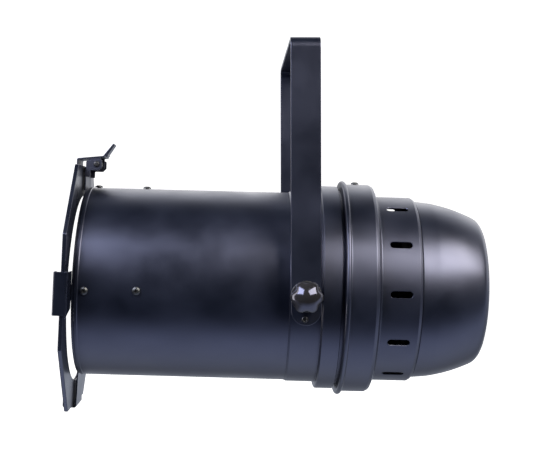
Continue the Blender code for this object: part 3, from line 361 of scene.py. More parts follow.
def edge_wear(tree, where, painted, wear, worn):
    """Mixes in the worn colour along convex edges, broken up by a fine noise."""
    links = tree.links
    shape = node(tree, 'ShaderNodeNewGeometry')
    convex = node(tree, 'ShaderNodeMapRange', {"From Min": 0.53, "From Max": 0.62, "To Max": wear})
    links.new(shape.outputs["Pointiness"], convex.inputs["Value"])
    breaks = node(tree, 'ShaderNodeTexNoise', {"Scale": 140.0, "Detail": 6.0})
    links.new(where.outputs["Object"], breaks.inputs["Vector"])
    patches = node(tree, 'ShaderNodeMapRange', {"From Min": 0.45, "From Max": 0.6})
    links.new(breaks.outputs["Fac"], patches.inputs["Value"])
    amount = node(tree, 'ShaderNodeMath', operation='MULTIPLY')
    links.new(convex.outputs["Result"], amount.inputs[0])
    links.new(patches.outputs["Result"], amount.inputs[1])
    mix = node(tree, 'ShaderNodeMix')
    mix.data_type = 'RGBA'
    links.new(amount.outputs["Value"], mix.inputs["Factor"])
    links.new(painted, mix.inputs["A"])
    mix.inputs["B"].default_value = (*worn, 1.0)
    return mix.outputs["Result"]


BLUISH = (0.57, 0.62, 1.0)
BLUE_BLACK = (0.0010, 0.0018, 0.0048)
SHEEN = {"tint": BLUISH, "specular": 0.85}
PAINT = finish("satin_black_paint", "black_paint", BLUE_BLACK, 0.35, wear=0.1, **SHEEN)
YOKE_PAINT = finish("yoke_powder_coat", "yoke_paint", BLUE_BLACK, 0.34, wear=0.3, grain=1400.0,
                    bump=0.02, **SHEEN)
FRAME_PAINT = finish("gel_frame_paint", "black_paint", (0.0012, 0.002, 0.0048), 0.3, **SHEEN)
STEEL_PAINT = finish("catch_paint", "black_paint", (0.0012, 0.0018, 0.004), 0.42, tint=BLUISH,
                     specular=0.8)
CAST_PAINT = finish("slotted_ring_paint", "black_paint", BLUE_BLACK, 0.38, **SHEEN)
# Black paint made darker and duller than the shell's, for the parts deep inside the housing: painted
# shade
INNER_SHADE_BLACK = finish("inner_painted_shade_black", "black_paint", (0.0006, 0.0006, 0.0007), 0.8, specular=0.15)
ZINC = finish("zinc_plating", "zinc_plate", (0.045, 0.048, 0.057), 0.45, metallic=1.0, fade=1.2,
              grain=500.0, bump=0.004)
STEEL = finish("blackened_steel", "black_steel", (0.045, 0.047, 0.058), 0.30, metallic=0.9,
               wear=0.5, grain=700.0, bump=0.004)
PLASTIC = finish("glossy_black_plastic", "black_plastic", (0.008, 0.008, 0.010), 0.13, spread=0.03,
                 grain=400.0, bump=0.003, tint=BLUISH, specular=0.6)
MOULDED = finish("matt_black_plastic", "black_plastic", (0.012, 0.012, 0.013), 0.5,
                 grain=1800.0, bump=0.03)
ALLOY = finish("aluminium_casting", "aluminium", (0.52, 0.53, 0.55), 0.42, metallic=1.0, fade=1.15,
               grain=1200.0, bump=0.02)
MIRROR = finish("anodised_reflector", "reflector", (0.86, 0.87, 0.89), 0.13, metallic=1.0,
                fade=1.05, grain=300.0, bump=0.003)
BOARD = finish("green_circuit_board", "circuit_board", (0.012, 0.085, 0.035), 0.42, fade=1.6,
               mottle=160.0)
PHOSPHOR = finish("led_phosphor_gel", "led_phosphor", (0.85, 0.66, 0.06), 0.45, fade=1.1,
                  mottle=300.0)
RUBBER = finish("button_rubber", "rubber", (0.016, 0.016, 0.017), 0.66, grain=2200.0, bump=0.02)
FIBRE = finish("brown_fibre", "fibre", (0.13, 0.075, 0.04), 0.8, fade=1.8, mottle=260.0,
               grain=1500.0, bump=0.05)
WINDOW = finish("red_display_window", "display_red", (0.05, 0.004, 0.004), 0.09, spread=0.02,
                grain=300.0, bump=0.002)
SEGMENTS_OFF = finish("unlit_segments", "display_red", (0.16, 0.05, 0.05), 0.4)


def clear_glass():
    material = finish("tempered_front_glass", "clear_glass", (0.86, 0.93, 0.90), 0.04, spread=0.02,
                      grain=60.0, bump=0.002)
    fill(material.node_tree.nodes["Principled BSDF"], {"Transmission Weight": 1.0, "IOR": 1.5})
    return material


GLASS = clear_glass()


# ---------------------------------- yoke

def build_yoke():
    """A flat bar, cut and drilled in the flat, then bent to a U."""
    middle = BEND - BAR_THICKNESS / 2               # bend radius of the bar's middle
    straight = ARM_OUT - BEND                       # half the crossbar's flat part
    arm = YOKE_HEIGHT + YOKE_FOOT - BEND            # the arm's flat part
    quarter = middle * pi / 2
    half = straight + quarter + arm
    side = BAR_WIDTH / 2
    down = straight + quarter + YOKE_HEIGHT - BEND  # the pivot's place along the bar
    outline = [*arc((half - side, 0), side, -90, 90, 40), *arc((side - half, 0), side, 90, 270, 40)]
    holes = [circle((0, 0), CLAMP_HOLE)]
    for sign in (-1, 1):
        holes += [circle((-sign * SAFETY_Y, 0), SAFETY_HOLE), circle((sign * down, 0), PIVOT_HOLE),
                  circle((sign * (down + RIVET_DROP), RIVET_X), RIVET_HOLE)]
    bm = slab(outline, BAR_THICKNESS, 0.7, holes, 3)
    cuts = 16
    for sign in (-1, 1):
        for step in range(cuts + 1):
            where = sign * (straight + quarter * step / cuts)
            bmesh.ops.bisect_plane(bm, geom=bm.verts[:] + bm.edges[:] + bm.faces[:],
                                   plane_co=(where, 0, 0), plane_no=(1, 0, 0))
    for vert in bm.verts:
        along, across, height = vert.co
        sign = 1 if along > 0 else -1
        past = abs(along) - straight
        if past <= 0:
            y, z = abs(along), height
        elif past < quarter:
            angle = past / middle
            y = straight + (middle + height) * sin(angle)
            z = (middle + height) * cos(angle) - middle
        else:
            y, z = straight + middle + height, quarter - past - middle
        vert.co = (across, sign * y, z - BAR_THICKNESS / 2)
    bmesh.ops.recalc_face_normals(bm, faces=bm.faces)
    piece("yoke_bar", bm, YOKE_PAINT, "yoke", ROW, "yoke")


def build_arm_hardware():
    """A washer, a rivet, a knob and a stud on each side."""
    for label, along, _ in SIDES:
        at_axis = AT_PIVOT @ along
        washer = ARM_OUT + GAP
        top = washer + WASHER_THICKNESS
        ring = [(washer, WASHER_BORE, 0.2), (top, WASHER_BORE, 0.2), (top, WASHER_RADIUS, 0.4),
                (washer, WASHER_RADIUS, 0.4)]
        piece("washer_" + label, revolve(rounded(ring, 3), MEDIUM), STEEL, "yoke", at_axis,
              "knob_washer_" + label)
        low = Matrix.Translation(PIVOT + Vector((RIVET_X, 0, -RIVET_DROP)) * MM)
        out, inside = ARM_OUT + GAP, ARM_IN - GAP
        rivet = [(out + 0.1, 0), (out + 0.1, 1.5, 0.1), (out + 0.9, 1.7, 0.2), (out + 0.9, 2.7, 0.4),
                 (out, 3.2, 0.1), (out, 1.8), (inside, 1.8), (inside, 3.0, 0.2),
                 (inside - 1.2, 2.4, 0.4), (inside - 1.2, 0)]
        piece("rivet_" + label, revolve(rounded(rivet, 3), SMALL), STEEL, "yoke", low @ along,
              "arm_rivet_" + label)
        build_knob(label, along, top + GAP)
        build_pivot(label, along)


def build_knob(label, along, base):
    """A six-lobed star knob with a domed cap, and a blind bore for the stud."""
    lobes, deepest, foot = 6, 2.4, 2.8              # the notches start above the foot
    dome = curved([(20.4, -3.0), (20.2, 0.0), (19.4, 4.4), (17.3, 8.8), (14.4, 12.6), (11.3, 15.2),
                   (8.0, 16.0), (5.4, 15.4)], 1, 6)
    skin = dome + rounded([(5.4, 15.4, 0.8), (3.6, 13.4, 0.8), (3.3, 12.6, 0.4), (1.6, 12.2, 0.6),
                           (0.2, 9.0, 0.5), (0.0, 4.15, 0.2), (12.0, 4.15), (12.0, 0)], 4)

    def notch(x, angle):
        height = x - base
        depth = deepest * smooth(height, foot, 5.0) * (1 - smooth(height, 9.0, 17.5))
        lobe = 0.5 + 0.5 * cos(lobes * angle)
        return -depth * (1 - lobe) ** 1.5 if height > foot else 0.0

    bm = revolve([(base + x, radius) for x, radius in skin], 180, notch)
    piece("star_knob_" + label, bm, PLASTIC, "knob_" + label, HUB @ along, "knob_" + label)


def smooth(value, low, high):
    """A soft step from 0 at low to 1 at high."""
    part = min(1.0, max(0.0, (value - low) / (high - low)))
    return part * part * (3 - 2 * part)


def build_pivot(label, along):
    """The shouldered stud on the collar, and the fibre washer between it and the arm."""
    top, bottom = ARM_IN - GAP, ARM_IN - GAP - 1.0
    end, start = bottom - GAP, COLLAR_RADIUS - 5.0
    boss = [(STUD_END, 0), (STUD_END, STUD_RADIUS - 0.6, 0.2), (STUD_END - 0.8, STUD_RADIUS, 0.2),
            (end, STUD_RADIUS, 0.2), (end, 12.6, 0.8), (103.0, STUD_BOSS, 2.0), (100.6, STUD_BOSS),
            (start, STUD_BOSS), (start, 0)]
    piece("boss_" + label, revolve(rounded(boss, 4), MEDIUM), PAINT, "lamp", HUB @ along,
          "pivot_stud_" + label)
    ring = [(bottom, WASHER_BORE), (top, WASHER_BORE), (top, STUD_BOSS, 0.2),
            (bottom, STUD_BOSS, 0.2)]
    piece("fibre_washer_" + label, revolve(rounded(ring, 3), SMALL), FIBRE, "lamp", HUB @ along,
          "friction_washer_" + label)


# ---------------------------------- shells

def build_barrel():
    """The long tube, necked at its leaning mouth and seamed along its underside."""
    neck, flare = RIM_RADIUS - 0.7, RIM_RADIUS + 0.6
    profile = [(BARREL_REAR, BORE, 0.3), (BARREL_REAR, BARREL_RADIUS, 0.3),
               (COLLAR_FRONT, BARREL_RADIUS), (-60, 98.4), (-120, 98.15), (-180, 97.95),
               (BARREL_FRONT + 6.4, RIM_RADIUS, 0.4), (BARREL_FRONT + 5.6, flare, 0.6),
               (BARREL_FRONT + 2.6, flare, 1.0), (BARREL_FRONT + 2.6, neck, 0.3),
               (BARREL_FRONT, neck, 0.3), (BARREL_FRONT, BORE, 0.1)]

    def seam(x, angle):
        off = abs(degrees(angle) - SEAM_ANGLE)
        return SEAM_HEIGHT * (1 - smooth(off, 2.2, 3.4)) if x > BARREL_FRONT + 4 else 0.0

    bm = revolve(rounded(profile, 5), 360, seam)
    for vert in bm.verts:
        if vert.co.x < BARREL_FRONT + 10:
            vert.co.x -= (LEAN_Z - vert.co.z) * tan(LEAN)
    piece("barrel", bm, PAINT, stands_for="front_barrel")


def build_housing():
    """The collar that takes the barrel, the ring behind it, and its spigot."""
    wall = SPIGOT_RADIUS - 2.5
    grip = BARREL_RADIUS + GAP
    profile = [(49.6, wall), (49.6, SPIGOT_RADIUS), (RING_END + 0.2, SPIGOT_RADIUS, 0.3),
               (RING_END, RING_RADIUS, 0.7), (18.2, RING_RADIUS, 0.7), (COLLAR_REAR, 105.2, 0.5),
               (COLLAR_REAR, COLLAR_RADIUS + 0.1, 0.6), (COLLAR_FRONT + 2.0, COLLAR_RADIUS, 0.6),
               (COLLAR_FRONT, COLLAR_RADIUS - 0.9, 0.2),
               (COLLAR_FRONT, grip, 0.1), (16.3, grip), (16.3, BORE), (19.5, BORE), (24.0, wall)]
    piece("housing", revolve(rounded(profile, 5)), PAINT, stands_for="main_housing")


def build_bell():
    """The widest ring, with a bead at its front and a rounded shoulder at its rear."""
    lip = SPIGOT_RADIUS + GAP
    inner = BELL_RADIUS - 3.0
    thick = 2.7                                     # the bead's radius
    bead = arc((BELL_FRONT + thick, BEAD_RADIUS - thick), thick, -14, 180, 14)
    profile = [(BELL_REAR, VENT_RADIUS + GAP, 0.2), (BELL_REAR, 98.9, 0.4), (75.2, 99.3, 0.6),
               (74.3, 103.4, 1.5), (72.6, 107.4, 2.0), (69.3, BELL_RADIUS, 2.0),
               (45.6, BELL_RADIUS, 0.5), *bead, (BELL_FRONT, lip, 0.3), (46.0, lip),
               (47.5, inner), (66.5, inner), (69.6, 103.8), (71.4, 100.4),
               (72.2, VENT_RADIUS + GAP)]
    piece("bell", revolve(rounded(profile, 5)), PAINT, stands_for="rear_bell")


def build_vent_ring():
    """A cast ring whose slots are cut by one tool with a chamfer at the surface."""
    spigot = 89.7
    wall = VENT_RADIUS - 1.2
    profile = [(128.5, spigot - 2.5), (128.5, spigot), (VENT_END, spigot), (VENT_END, 93.8, 0.5),
               (116.0, 95.6, 0.8), (113.6, VENT_RADIUS, 0.8), (VENT_START, VENT_RADIUS),
               (VENT_START, wall), (112.0, wall), (116.5, spigot - 2.5)]
    ring = revolve(rounded(profile, 4), 240)
    middle = (SLOT_FRONT + SLOT_REAR) / 2
    length = SLOT_REAR - SLOT_FRONT
    tools = bmesh.new()
    for index in range(SLOT_COUNT):
        turn = Matrix.Rotation(tau * index / SLOT_COUNT, 4, 'X')
        tool = slot_tool(length, SLOT_WIDTH)
        tools = joined(tools, moved(tool, turn @ shift(middle, 0, 0)))
    piece("slotted_ring", boolean(ring, tools), CAST_PAINT, stands_for="vent_ring")


def slot_tool(length, width):
    """A stadium prism along Z that flares just above the ring's surface."""
    loops = []
    for height, grow in ((85.0, 0.0), (VENT_RADIUS - 0.55, 0.0), (VENT_RADIUS + 0.4, 0.85),
                         (VENT_RADIUS + 6.0, 0.85)):
        radius = width / 2 + grow
        reach = length / 2 - width / 2
        outline = [*arc((reach, 0), radius, -90, 90, 16), *arc((-reach, 0), radius, 90, 270, 16)]
        loops.append([(x, y, height) for x, y in outline])
    return loft(loops)


def build_dome():
    """The domed cover, with the flange that carries the rear panel."""
    profile = [(DOME_FRONT, 90.0), (DOME_FRONT, 93.2, 0.5), (133.0, 91.8), (146.0, 89.4),
               (159.0, 85.9), (172.0, 81.2), (181.5, 76.9), (185.0, 73.9), (187.3, 70.5, 1.5),
               (188.5, 66.5, 1.0), (188.5, 63.1, 0.5), (184.2, 63.0), (184.2, 50.0),
               (182.0, 50.0), (182.0, 72.5), (172.0, 78.7), (159.0, 83.4), (146.0, 86.9),
               (129.5, 90.0)]
    piece("dome", revolve(rounded(curved(profile, 2, 8), 4)), PAINT, stands_for="rear_dome")


def curved(profile, first, last):
    """The profile with its stretch from first to last drawn as a smooth curve."""
    out = list(profile[:first])
    for index in range(first, last):
        before, here, there, after = (Vector(profile[k][:2]) for k in
                                      (index - 1, index, index + 1, index + 2))
        for step in range(4):
            t = step / 4
            point = 0.5 * (2 * here + (there - before) * t
                           + (2 * before - 5 * here + 4 * there - after) * t * t
                           + (3 * here - before - 3 * there + after) * t ** 3)
            out.append(tuple(point))
    return out + list(profile[last:])


# ---------------------------------- screws

def screw_head(radius, height):
    """A pan head with a Phillips recess, its seat at x = 0."""
    head = rounded([(0, 0), (0, radius, 0.15), (height * 0.45, radius, radius * 0.22),
                    (height, radius * 0.55, radius * 0.5), (height * 1.02, 0)], 5)
    bm = revolve(head, SMALL)
    wing, blade = radius * 0.62, radius * 0.13
    cross = [(wing, -blade), (wing, blade), (blade, blade), (blade, wing), (-blade, wing),
             (-blade, blade), (-wing, blade), (-wing, -blade), (-blade, -blade), (-blade, -wing),
             (blade, -wing), (blade, -blade)]
    recess = loft([[(depth, y * scale, z * scale) for y, z in cross]
                   for depth, scale in ((height * 0.25, 0.45), (height * 1.3, 1.05))])
    return boolean(bm, recess)


def shank(length, radius=2.0):
    """A threaded shank below the seat, as a stack of shallow ridges."""
    pitch = 0.8
    profile = [(0.05, 0), (0.05, radius)]
    for turn in range(int(length / pitch)):
        profile += [(-pitch * (turn + 0.5), radius - 0.28), (-pitch * (turn + 1), radius)]
    return revolve(profile + [(-length, radius - 0.5), (-length, 0)], 24)


def build_screws():
    """Three screws in each row on the barrel, one on the bell and three on the panel."""
    for row, x, radius, sag in SCREW_ROWS:
        for label, angle in (("near", sag - 180), ("top", 90), ("far", -sag)):
            side_screw(f"{row}_screw_{label}", x, radius + GAP, angle, 4.4)
    side_screw("bell_screw_top", BELL_SCREW_X, BELL_RADIUS + GAP, 90, 6.0)
    for number, (y, z) in enumerate(thirds(PANEL_SCREW_CIRCLE), start=1):
        spot = shift(PANEL_REAR + GAP, y, z)
        bm = joined(screw_head(PANEL_SCREW_HEAD, 1.9), shank(6.5))
        piece(f"pan_head_panel_{number}", moved(bm, spot), ZINC, stands_for=f"panel_screw_{number}")


def side_screw(name, x, seat, angle, length):
    """A screw whose head stands out of a shell, angle in degrees from the far side upwards."""
    turn = Matrix.Rotation(radians(angle), 4, 'X') @ ALONG_FAR
    spin = Matrix.Rotation(random.uniform(0, pi), 4, 'X')
    bm = joined(screw_head(SCREW_HEAD, 2.2), shank(length))
    place = shift(x, 0, 0) @ turn @ shift(seat, 0, 0) @ spin
    piece("pan_head_" + name.replace("_screw", ""), moved(bm, place), ZINC, stands_for=name)


# ---------------------------------- colour frame, clips, latch

def octagon(inset=0.0):
    """The colour frame's outline in YZ, with its corners just rounded."""
    across, up = (half - inset for half in FRAME_HALF)
    corner = FRAME_CORNER - inset * 0.4
    right = [(across, -corner), (across, corner), (corner, up)]
    left = [(-corner, up), (-across, corner), (-across, -corner)]
    return rounded([(y, z - FRAME_DROP, 2.5)
                    for y, z in (*right, *left, (-corner, -up), (corner, -up))], 4)


def build_colour_frame():
    """Folded sheet: two leaves joined by a rim, open at the top for the colour sheet."""
    leaf = 1.2
    middle = (FRAME_FRONT + FRAME_REAR) / 2
    depth = FRAME_REAR - FRAME_FRONT
    across = shift(middle, 0, 0) @ FACING_X
    aperture = circle((0, -APERTURE_DROP), APERTURE, 160)
    body = slab(octagon(), depth, 0.9, [aperture], 3)
    slot = slab(octagon(3.0), depth - 2 * leaf, 0.1)
    mouth = slab([(-50, 110), (50, 110), (50, 130), (-50, 130)], depth - 2 * leaf, 0.1)
    bm = boolean(boolean(body, slot), mouth)
    piece("gel_frame", moved(bm, across), FRAME_PAINT, place=NOSE, stands_for="colour_frame")


def swung(bm, angle, sag):
    """A profile of (x, distance out) swung round the frame's centre; angle 90 is the top."""
    turn = Matrix.Rotation(radians(angle - 90), 4, 'X')
    return moved(bm, shift(0, 0, -FRAME_DROP - sag) @ turn @ FACING_Y)


def build_clips():
    """Three channels that hold the colour frame, each with a foot inside the barrel."""
    bend, outer = 0.5, 0.5 + SHEET
    side, low = (FRAME_HALF[0] + GAP, 95.0, CLIP_SAG), (FRAME_HALF[1] + GAP, 90.6, 0)
    for label, angle, (web, foot_out, sag) in (("near", 180, side), ("far", 0, side),
                                               ("bottom", -90, low)):
        lip = web - 11.0
        foot_in = foot_out - SHEET
        channel = [(CLIP_FRONT, lip, 0.6), (CLIP_FRONT + SHEET, lip, 0.6),
                   (CLIP_FRONT + SHEET, web, bend), (CLIP_REAR - SHEET, web, bend),
                   (CLIP_REAR - SHEET, foot_in, 0.2), (CLIP_REAR, foot_in, 0.2),
                   (CLIP_REAR, web + SHEET, outer), (CLIP_FRONT, web + SHEET, outer)]
        foot = [(CLIP_REAR - SHEET, foot_in, outer), (FOOT_END, foot_in, 0.3),
                (FOOT_END, foot_out, 0.3), (CLIP_REAR - 0.1, foot_out, 0.2)]
        folded = slab(rounded(channel), CLIP_WIDTH, 0.3)
        down = cos(radians(angle))
        for vert in folded.verts:                   # the leg narrows from below to its foot
            if vert.co.y < foot_out + 1.0 and vert.co.z * down < 0.01:
                vert.co.z *= 0.74
        bm = joined(folded, slab(rounded(foot), FOOT_WIDTH, 0.3))
        piece("gel_clip_" + label, swung(bm, angle, sag), FRAME_PAINT, place=NOSE,
              stands_for="clip_" + label)


def side_plate(outline, thickness, across, edge=0.3):
    """An outline in the lamp's XZ plane, thickened across it."""
    return moved(slab(rounded(outline), thickness, edge), shift(0, across, 0) @ FACING_Y)


def build_latch():
    """The bracket on the barrel's top, and the pin through its ears."""
    half, foot_out, leg_top, leg_rear = 21.0, 95.8, 118.5, -225.4
    foot_in = foot_out - SHEET
    leg = [(leg_rear - SHEET, foot_in, 0.3), (leg_rear, foot_in, 0.3), (leg_rear, leg_top, 0.5),
           (leg_rear - SHEET, leg_top, 0.5)]
    foot = [(leg_rear - SHEET, foot_in, 1.0), (FOOT_END, foot_in, 0.3), (FOOT_END, foot_out, 0.3),
            (leg_rear - 0.1, foot_out, 0.2)]
    ear = [(-227.0, 108.4, 1.0), (-221.4, 108.4, 1.2), (-221.4, 115.2, 1.0), (-212.7, 115.2, 2.0),
           (-209.4, 118.6, 2.0), (-209.4, 126.8, 1.5), (-225.8, 124.9, 1.5), (-225.8, 118.2, 0.6),
           (-227.0, 118.2, 0.6)]
    bm = joined(side_plate(leg, 2 * half, 0), side_plate(foot, FOOT_WIDTH, 0))
    for sign in (-1, 1):
        bm = joined(bm, side_plate(ear, SHEET, sign * (half - SHEET / 2)))
    piece("catch_bracket", bm, STEEL_PAINT, stands_for="latch_bracket")

    head = half + GAP
    pin = [(head + 1.4, 0), (head + 1.4, 2.2, 0.5), (head, 3.4, 0.3), (head, 2.0), (-head, 2.0),
           (-head, 3.4, 0.3), (-head - 1.4, 2.2, 0.5), (-head - 1.4, 0)]
    at_pin = shift(LATCH_X, 0, LATCH_Z) @ ALONG_NEAR
    piece("catch_pin", moved(revolve(rounded(pin, 3), SMALL), at_pin), STEEL,
          stands_for="latch_pin")
    build_hook(half - SHEET - 0.5)
    build_spring()


def build_hook(half):
    """The moving hook: a web with a front lip, two cheeks and a finger lever."""
    web = [(-235.7, 112.0, 0.6), (-234.2, 112.0, 0.6), (-234.2, 126.1, 0.8), (-207.0, 129.4, 0.3),
           (-207.0, 130.9, 0.3), (-234.7, 127.7, 1.6), (-235.7, 126.6, 0.4)]
    cheek = [(-223.5, 128.6, 0.3), (-223.5, 119.5, 2.0), (-219.5, 115.4, 2.0),
             (-214.2, 115.4, 2.0), (-211.2, 118.9, 1.5), (-211.2, 130.0, 0.3)]
    lever = [(-211.0, 129.8, 0.4), (-207.6, 129.7, 0.3), (-204.8, 130.9, 0.5), (-204.9, 132.6, 0.8),
             (-198.0, 143.3, 0.7), (-199.6, 144.6, 0.7)]
    bm = joined(side_plate(web, 2 * half, 0), side_plate(lever, 18.0, 0, 0.4))
    for sign in (-1, 1):
        bm = joined(bm, side_plate(cheek, SHEET, sign * (half - SHEET / 2)))
    piece("catch_hook", bm, STEEL_PAINT, "latch", stands_for="latch_hook")


def build_spring():
    """The coil of the torsion spring round the pin."""
    turns, steps, length, coil = 5, 36, 11.0, 3.3
    wire = []
    for index in range(turns * steps + 1):
        angle = tau * index / steps
        along = length * (index / (turns * steps) - 0.5)
        wire.append(Vector((coil * cos(angle), along, coil * sin(angle))))
    bm = tube(wire, 0.5, 10)
    piece("catch_spring", moved(bm, shift(LATCH_X, 0, LATCH_Z)), ZINC, stands_for="latch_spring")


def tube(path, radius, sides):
    """A round wire along a path, closed at its ends."""
    loops = []
    for index, point in enumerate(path):
        ahead = path[min(index + 1, len(path) - 1)] - path[max(index - 1, 0)]
        turn = ahead.to_track_quat('Z', 'Y')
        loops.append([point + turn @ Vector((radius * cos(tau * side / sides),
                                             radius * sin(tau * side / sides), 0))
                      for side in range(sides)])
    return loft(loops)


# ---------------------------------- inside the lamp

def build_optics():
    """The glass in its ring, and the faceted reflector with the emitter in its throat."""
    out, inside, front, rear, lip = BORE - GAP, 93.8, -171.0, -157.0, 1.5
    ring = [(rear, inside, 0.3), (rear, out, 0.3), (front, out, 0.5), (front, 88.0, 0.6),
            (front + lip, 88.0, 0.4), (front + lip, inside)]
    piece("glass_retainer", revolve(rounded(ring, 4)), PAINT, stands_for="glass_ring")
    face = front + lip + GAP
    edge = inside - GAP
    glass = [(face, 0), (face, edge, 0.5), (face + 3.0, edge, 0.5), (face + 3.0, 0)]
    piece("lens_glass", revolve(rounded(glass, 3), MEDIUM), GLASS, stands_for="front_glass")
    build_reflector(out)
    build_emitter()


def build_reflector(rim_out):
    """A parabola of small facets in rows, with a rolled rim."""
    rim, vertex, focal, wall, throat = -18.6, 49.0, 30.0, 1.2, 46.5
    rows, facets = 14, 48
    inside = []
    for row in range(rows + 1):
        x = rim + (throat - rim) * (1 - (1 - row / rows) ** 1.6)
        inside.append((x, sqrt(4 * focal * (vertex - x))))
    outside = [(x, radius + wall) for x, radius in reversed(inside)]
    edge = [(rim, rim_out), (rim - wall, rim_out), (rim - wall, inside[0][1])]
    bm = revolve(outside + edge + inside, facets)
    thing = piece("faceted_reflector", bm, MIRROR, stands_for="reflector")
    for polygon in thing.data.polygons:
        polygon.use_smooth = False


def build_emitter():
    """A round chip array: the phosphor inside a low dam."""
    dam = [(46.9, 12.6, 0.4), (46.9, 14.0, 0.5), (49.6, 14.0), (49.6, 0), (47.9, 0), (47.9, 12.6)]
    piece("phosphor_disc", revolve(rounded(dam, 4), MEDIUM), PHOSPHOR, stands_for="led_emitter")


# ---------------------------------- rear panel

DISPLAY_Y, DISPLAY_Z, DISPLAY_WIDE, DISPLAY_HIGH = 0.0, 36.0, 36.0, 15.0
BUTTONS = [(y, 19.0) for y in (-21.0, -7.0, 7.0, 21.0)]
BUTTON_RADIUS = 3.6
SOCKETS = (("dmx_in", -25.0), ("dmx_out", 25.0))
SOCKET_Z, SOCKET_RADIUS = -8.0, 10.8
INLET_Z, INLET_WIDE, INLET_HIGH = -36.0, 27.0, 19.0
FUSE_Z, FUSE_RADIUS = -6.0, 6.0
FLANGE = (PANEL_REAR + GAP, PANEL_REAR + GAP + 1.5)


def rounded_box(y, z, wide, high, radius, grow=0.0):
    """A rectangle's outline in YZ, grown on every side."""
    y0, y1 = y - wide / 2 - grow, y + wide / 2 + grow
    z0, z1 = z - high / 2 - grow, z + high / 2 + grow
    return rounded([(y0, z0, radius), (y1, z0, radius), (y1, z1, radius), (y0, z1, radius)], 6)


def facing_rear(bm, x):
    """A flat shape drawn in YZ, its middle at x."""
    return moved(bm, shift(x, 0, 0) @ FACING_X)


def build_panel():
    """The round plate, with a hole for each thing it carries."""
    holes = [rounded_box(DISPLAY_Y, DISPLAY_Z, DISPLAY_WIDE, DISPLAY_HIGH, 0.8, GAP),
             rounded_box(0, INLET_Z, INLET_WIDE, INLET_HIGH, 0.8, GAP),
             circle((0, FUSE_Z), FUSE_RADIUS + GAP)]
    holes += [circle(place, BUTTON_RADIUS + GAP, 32) for place in BUTTONS]
    holes += [circle((y, SOCKET_Z), SOCKET_RADIUS + GAP) for _, y in SOCKETS]
    holes += [circle(place, 2.3, 24) for place in thirds(PANEL_SCREW_CIRCLE)]
    bm = slab(circle((0, 0), PANEL_RADIUS, 160), PANEL_REAR - PANEL_FRONT, 0.35, holes)
    piece("connector_plate", facing_rear(bm, (PANEL_FRONT + PANEL_REAR) / 2), PAINT,
          stands_for="rear_panel")


def build_controls():
    """The display behind its red window, and the four rubber buttons."""
    front, rear = 172.9, PANEL_REAR + 0.4
    window = slab(rounded_box(DISPLAY_Y, DISPLAY_Z, DISPLAY_WIDE, DISPLAY_HIGH, 0.7), rear - front,
                  0.5)
    piece("display_cover", facing_rear(window, (front + rear) / 2), WINDOW,
          stands_for="display_window")
    digits = bmesh.new()
    for place in range(4):
        digits = joined(digits, digit((place - 1.5) * 7.6))
    piece("display_digits", facing_rear(digits, rear + 0.05), SEGMENTS_OFF)
    for number, (y, z) in enumerate(BUTTONS, start=1):
        top, flange = PANEL_REAR + 1.8, (PANEL_FRONT - 1.8, PANEL_FRONT - GAP)
        dish = [(top - 0.4, 0), (top - 0.35, 1.2), (top, 2.6, 0.6), (top, BUTTON_RADIUS, 0.6),
                (flange[1], BUTTON_RADIUS, 0.2), (flange[1], BUTTON_RADIUS + 1.4, 0.2),
                (flange[0], BUTTON_RADIUS + 1.4, 0.2), (flange[0], 2.0), (174.2, 2.0, 0.3),
                (174.2, 0)]
        bm = revolve(rounded(dish, 4), SMALL)
        piece(f"menu_button_{number}", moved(bm, shift(0, y, z)), RUBBER, f"button_{number}",
              stands_for=f"button_{number}")


def digit(y):
    """The seven unlit segments of one digit, slanted a little."""
    wide, high, bar, slant = 4.2, 8.0, 0.75, 0.12
    parts = bmesh.new()
    flat = [(0, -high / 2), (0, 0), (0, high / 2)]
    tall = [(side * wide / 2, level * high / 4) for side in (-1, 1) for level in (-1, 1)]
    bars = [(*centre, wide - 1.2, bar) for centre in flat]
    bars += [(*centre, bar, high / 2 - 1.1) for centre in tall]
    for cx, cz, across, up in bars:
        half_y, half_z = across / 2, up / 2
        corners = [(y + cx + a * half_y + slant * (cz + b * half_z), DISPLAY_Z + cz + b * half_z)
                   for a, b in ((-1, -1), (1, -1), (1, 1), (-1, 1))]
        parts = joined(parts, slab(corners, 0.12, 0.03))
    return parts


def build_sockets():
    """The two DMX sockets: one with contacts that stand out, one with bores."""
    for label, y in SOCKETS:
        floor = FLANGE[1] - 12.0
        shell = [(floor, 0), (floor, 8.0, 0.4), (FLANGE[1] - 0.8, 8.0, 0.3), (FLANGE[1], 8.8, 0.3),
                 (FLANGE[1], 12.2, 0.8), (FLANGE[0], 13.2, 0.2), (FLANGE[0], SOCKET_RADIUS),
                 (164.0, SOCKET_RADIUS, 0.5), (164.0, 0)]
        body = revolve(rounded(shell, 4), MEDIUM)
        for place in thirds(3.6):
            spot = shift(0, *place)
            if label == "dmx_in":
                contact = [(floor - 1, 0), (floor - 1, 1.1), (floor + 7.0, 1.1, 0.9),
                           (floor + 7.0, 0)]
                body = joined(body, moved(revolve(rounded(contact), 24), spot))
            else:
                bore = [(floor - 4, 0), (floor - 4, 1.1), (floor + 0.3, 1.1), (floor + 0.3, 0)]
                body = boolean(body, moved(revolve(bore, 24), spot))
        piece(label + "_socket", moved(body, shift(0, y, SOCKET_Z)), STEEL, stands_for=label)
    build_inlet()
    build_fuse()


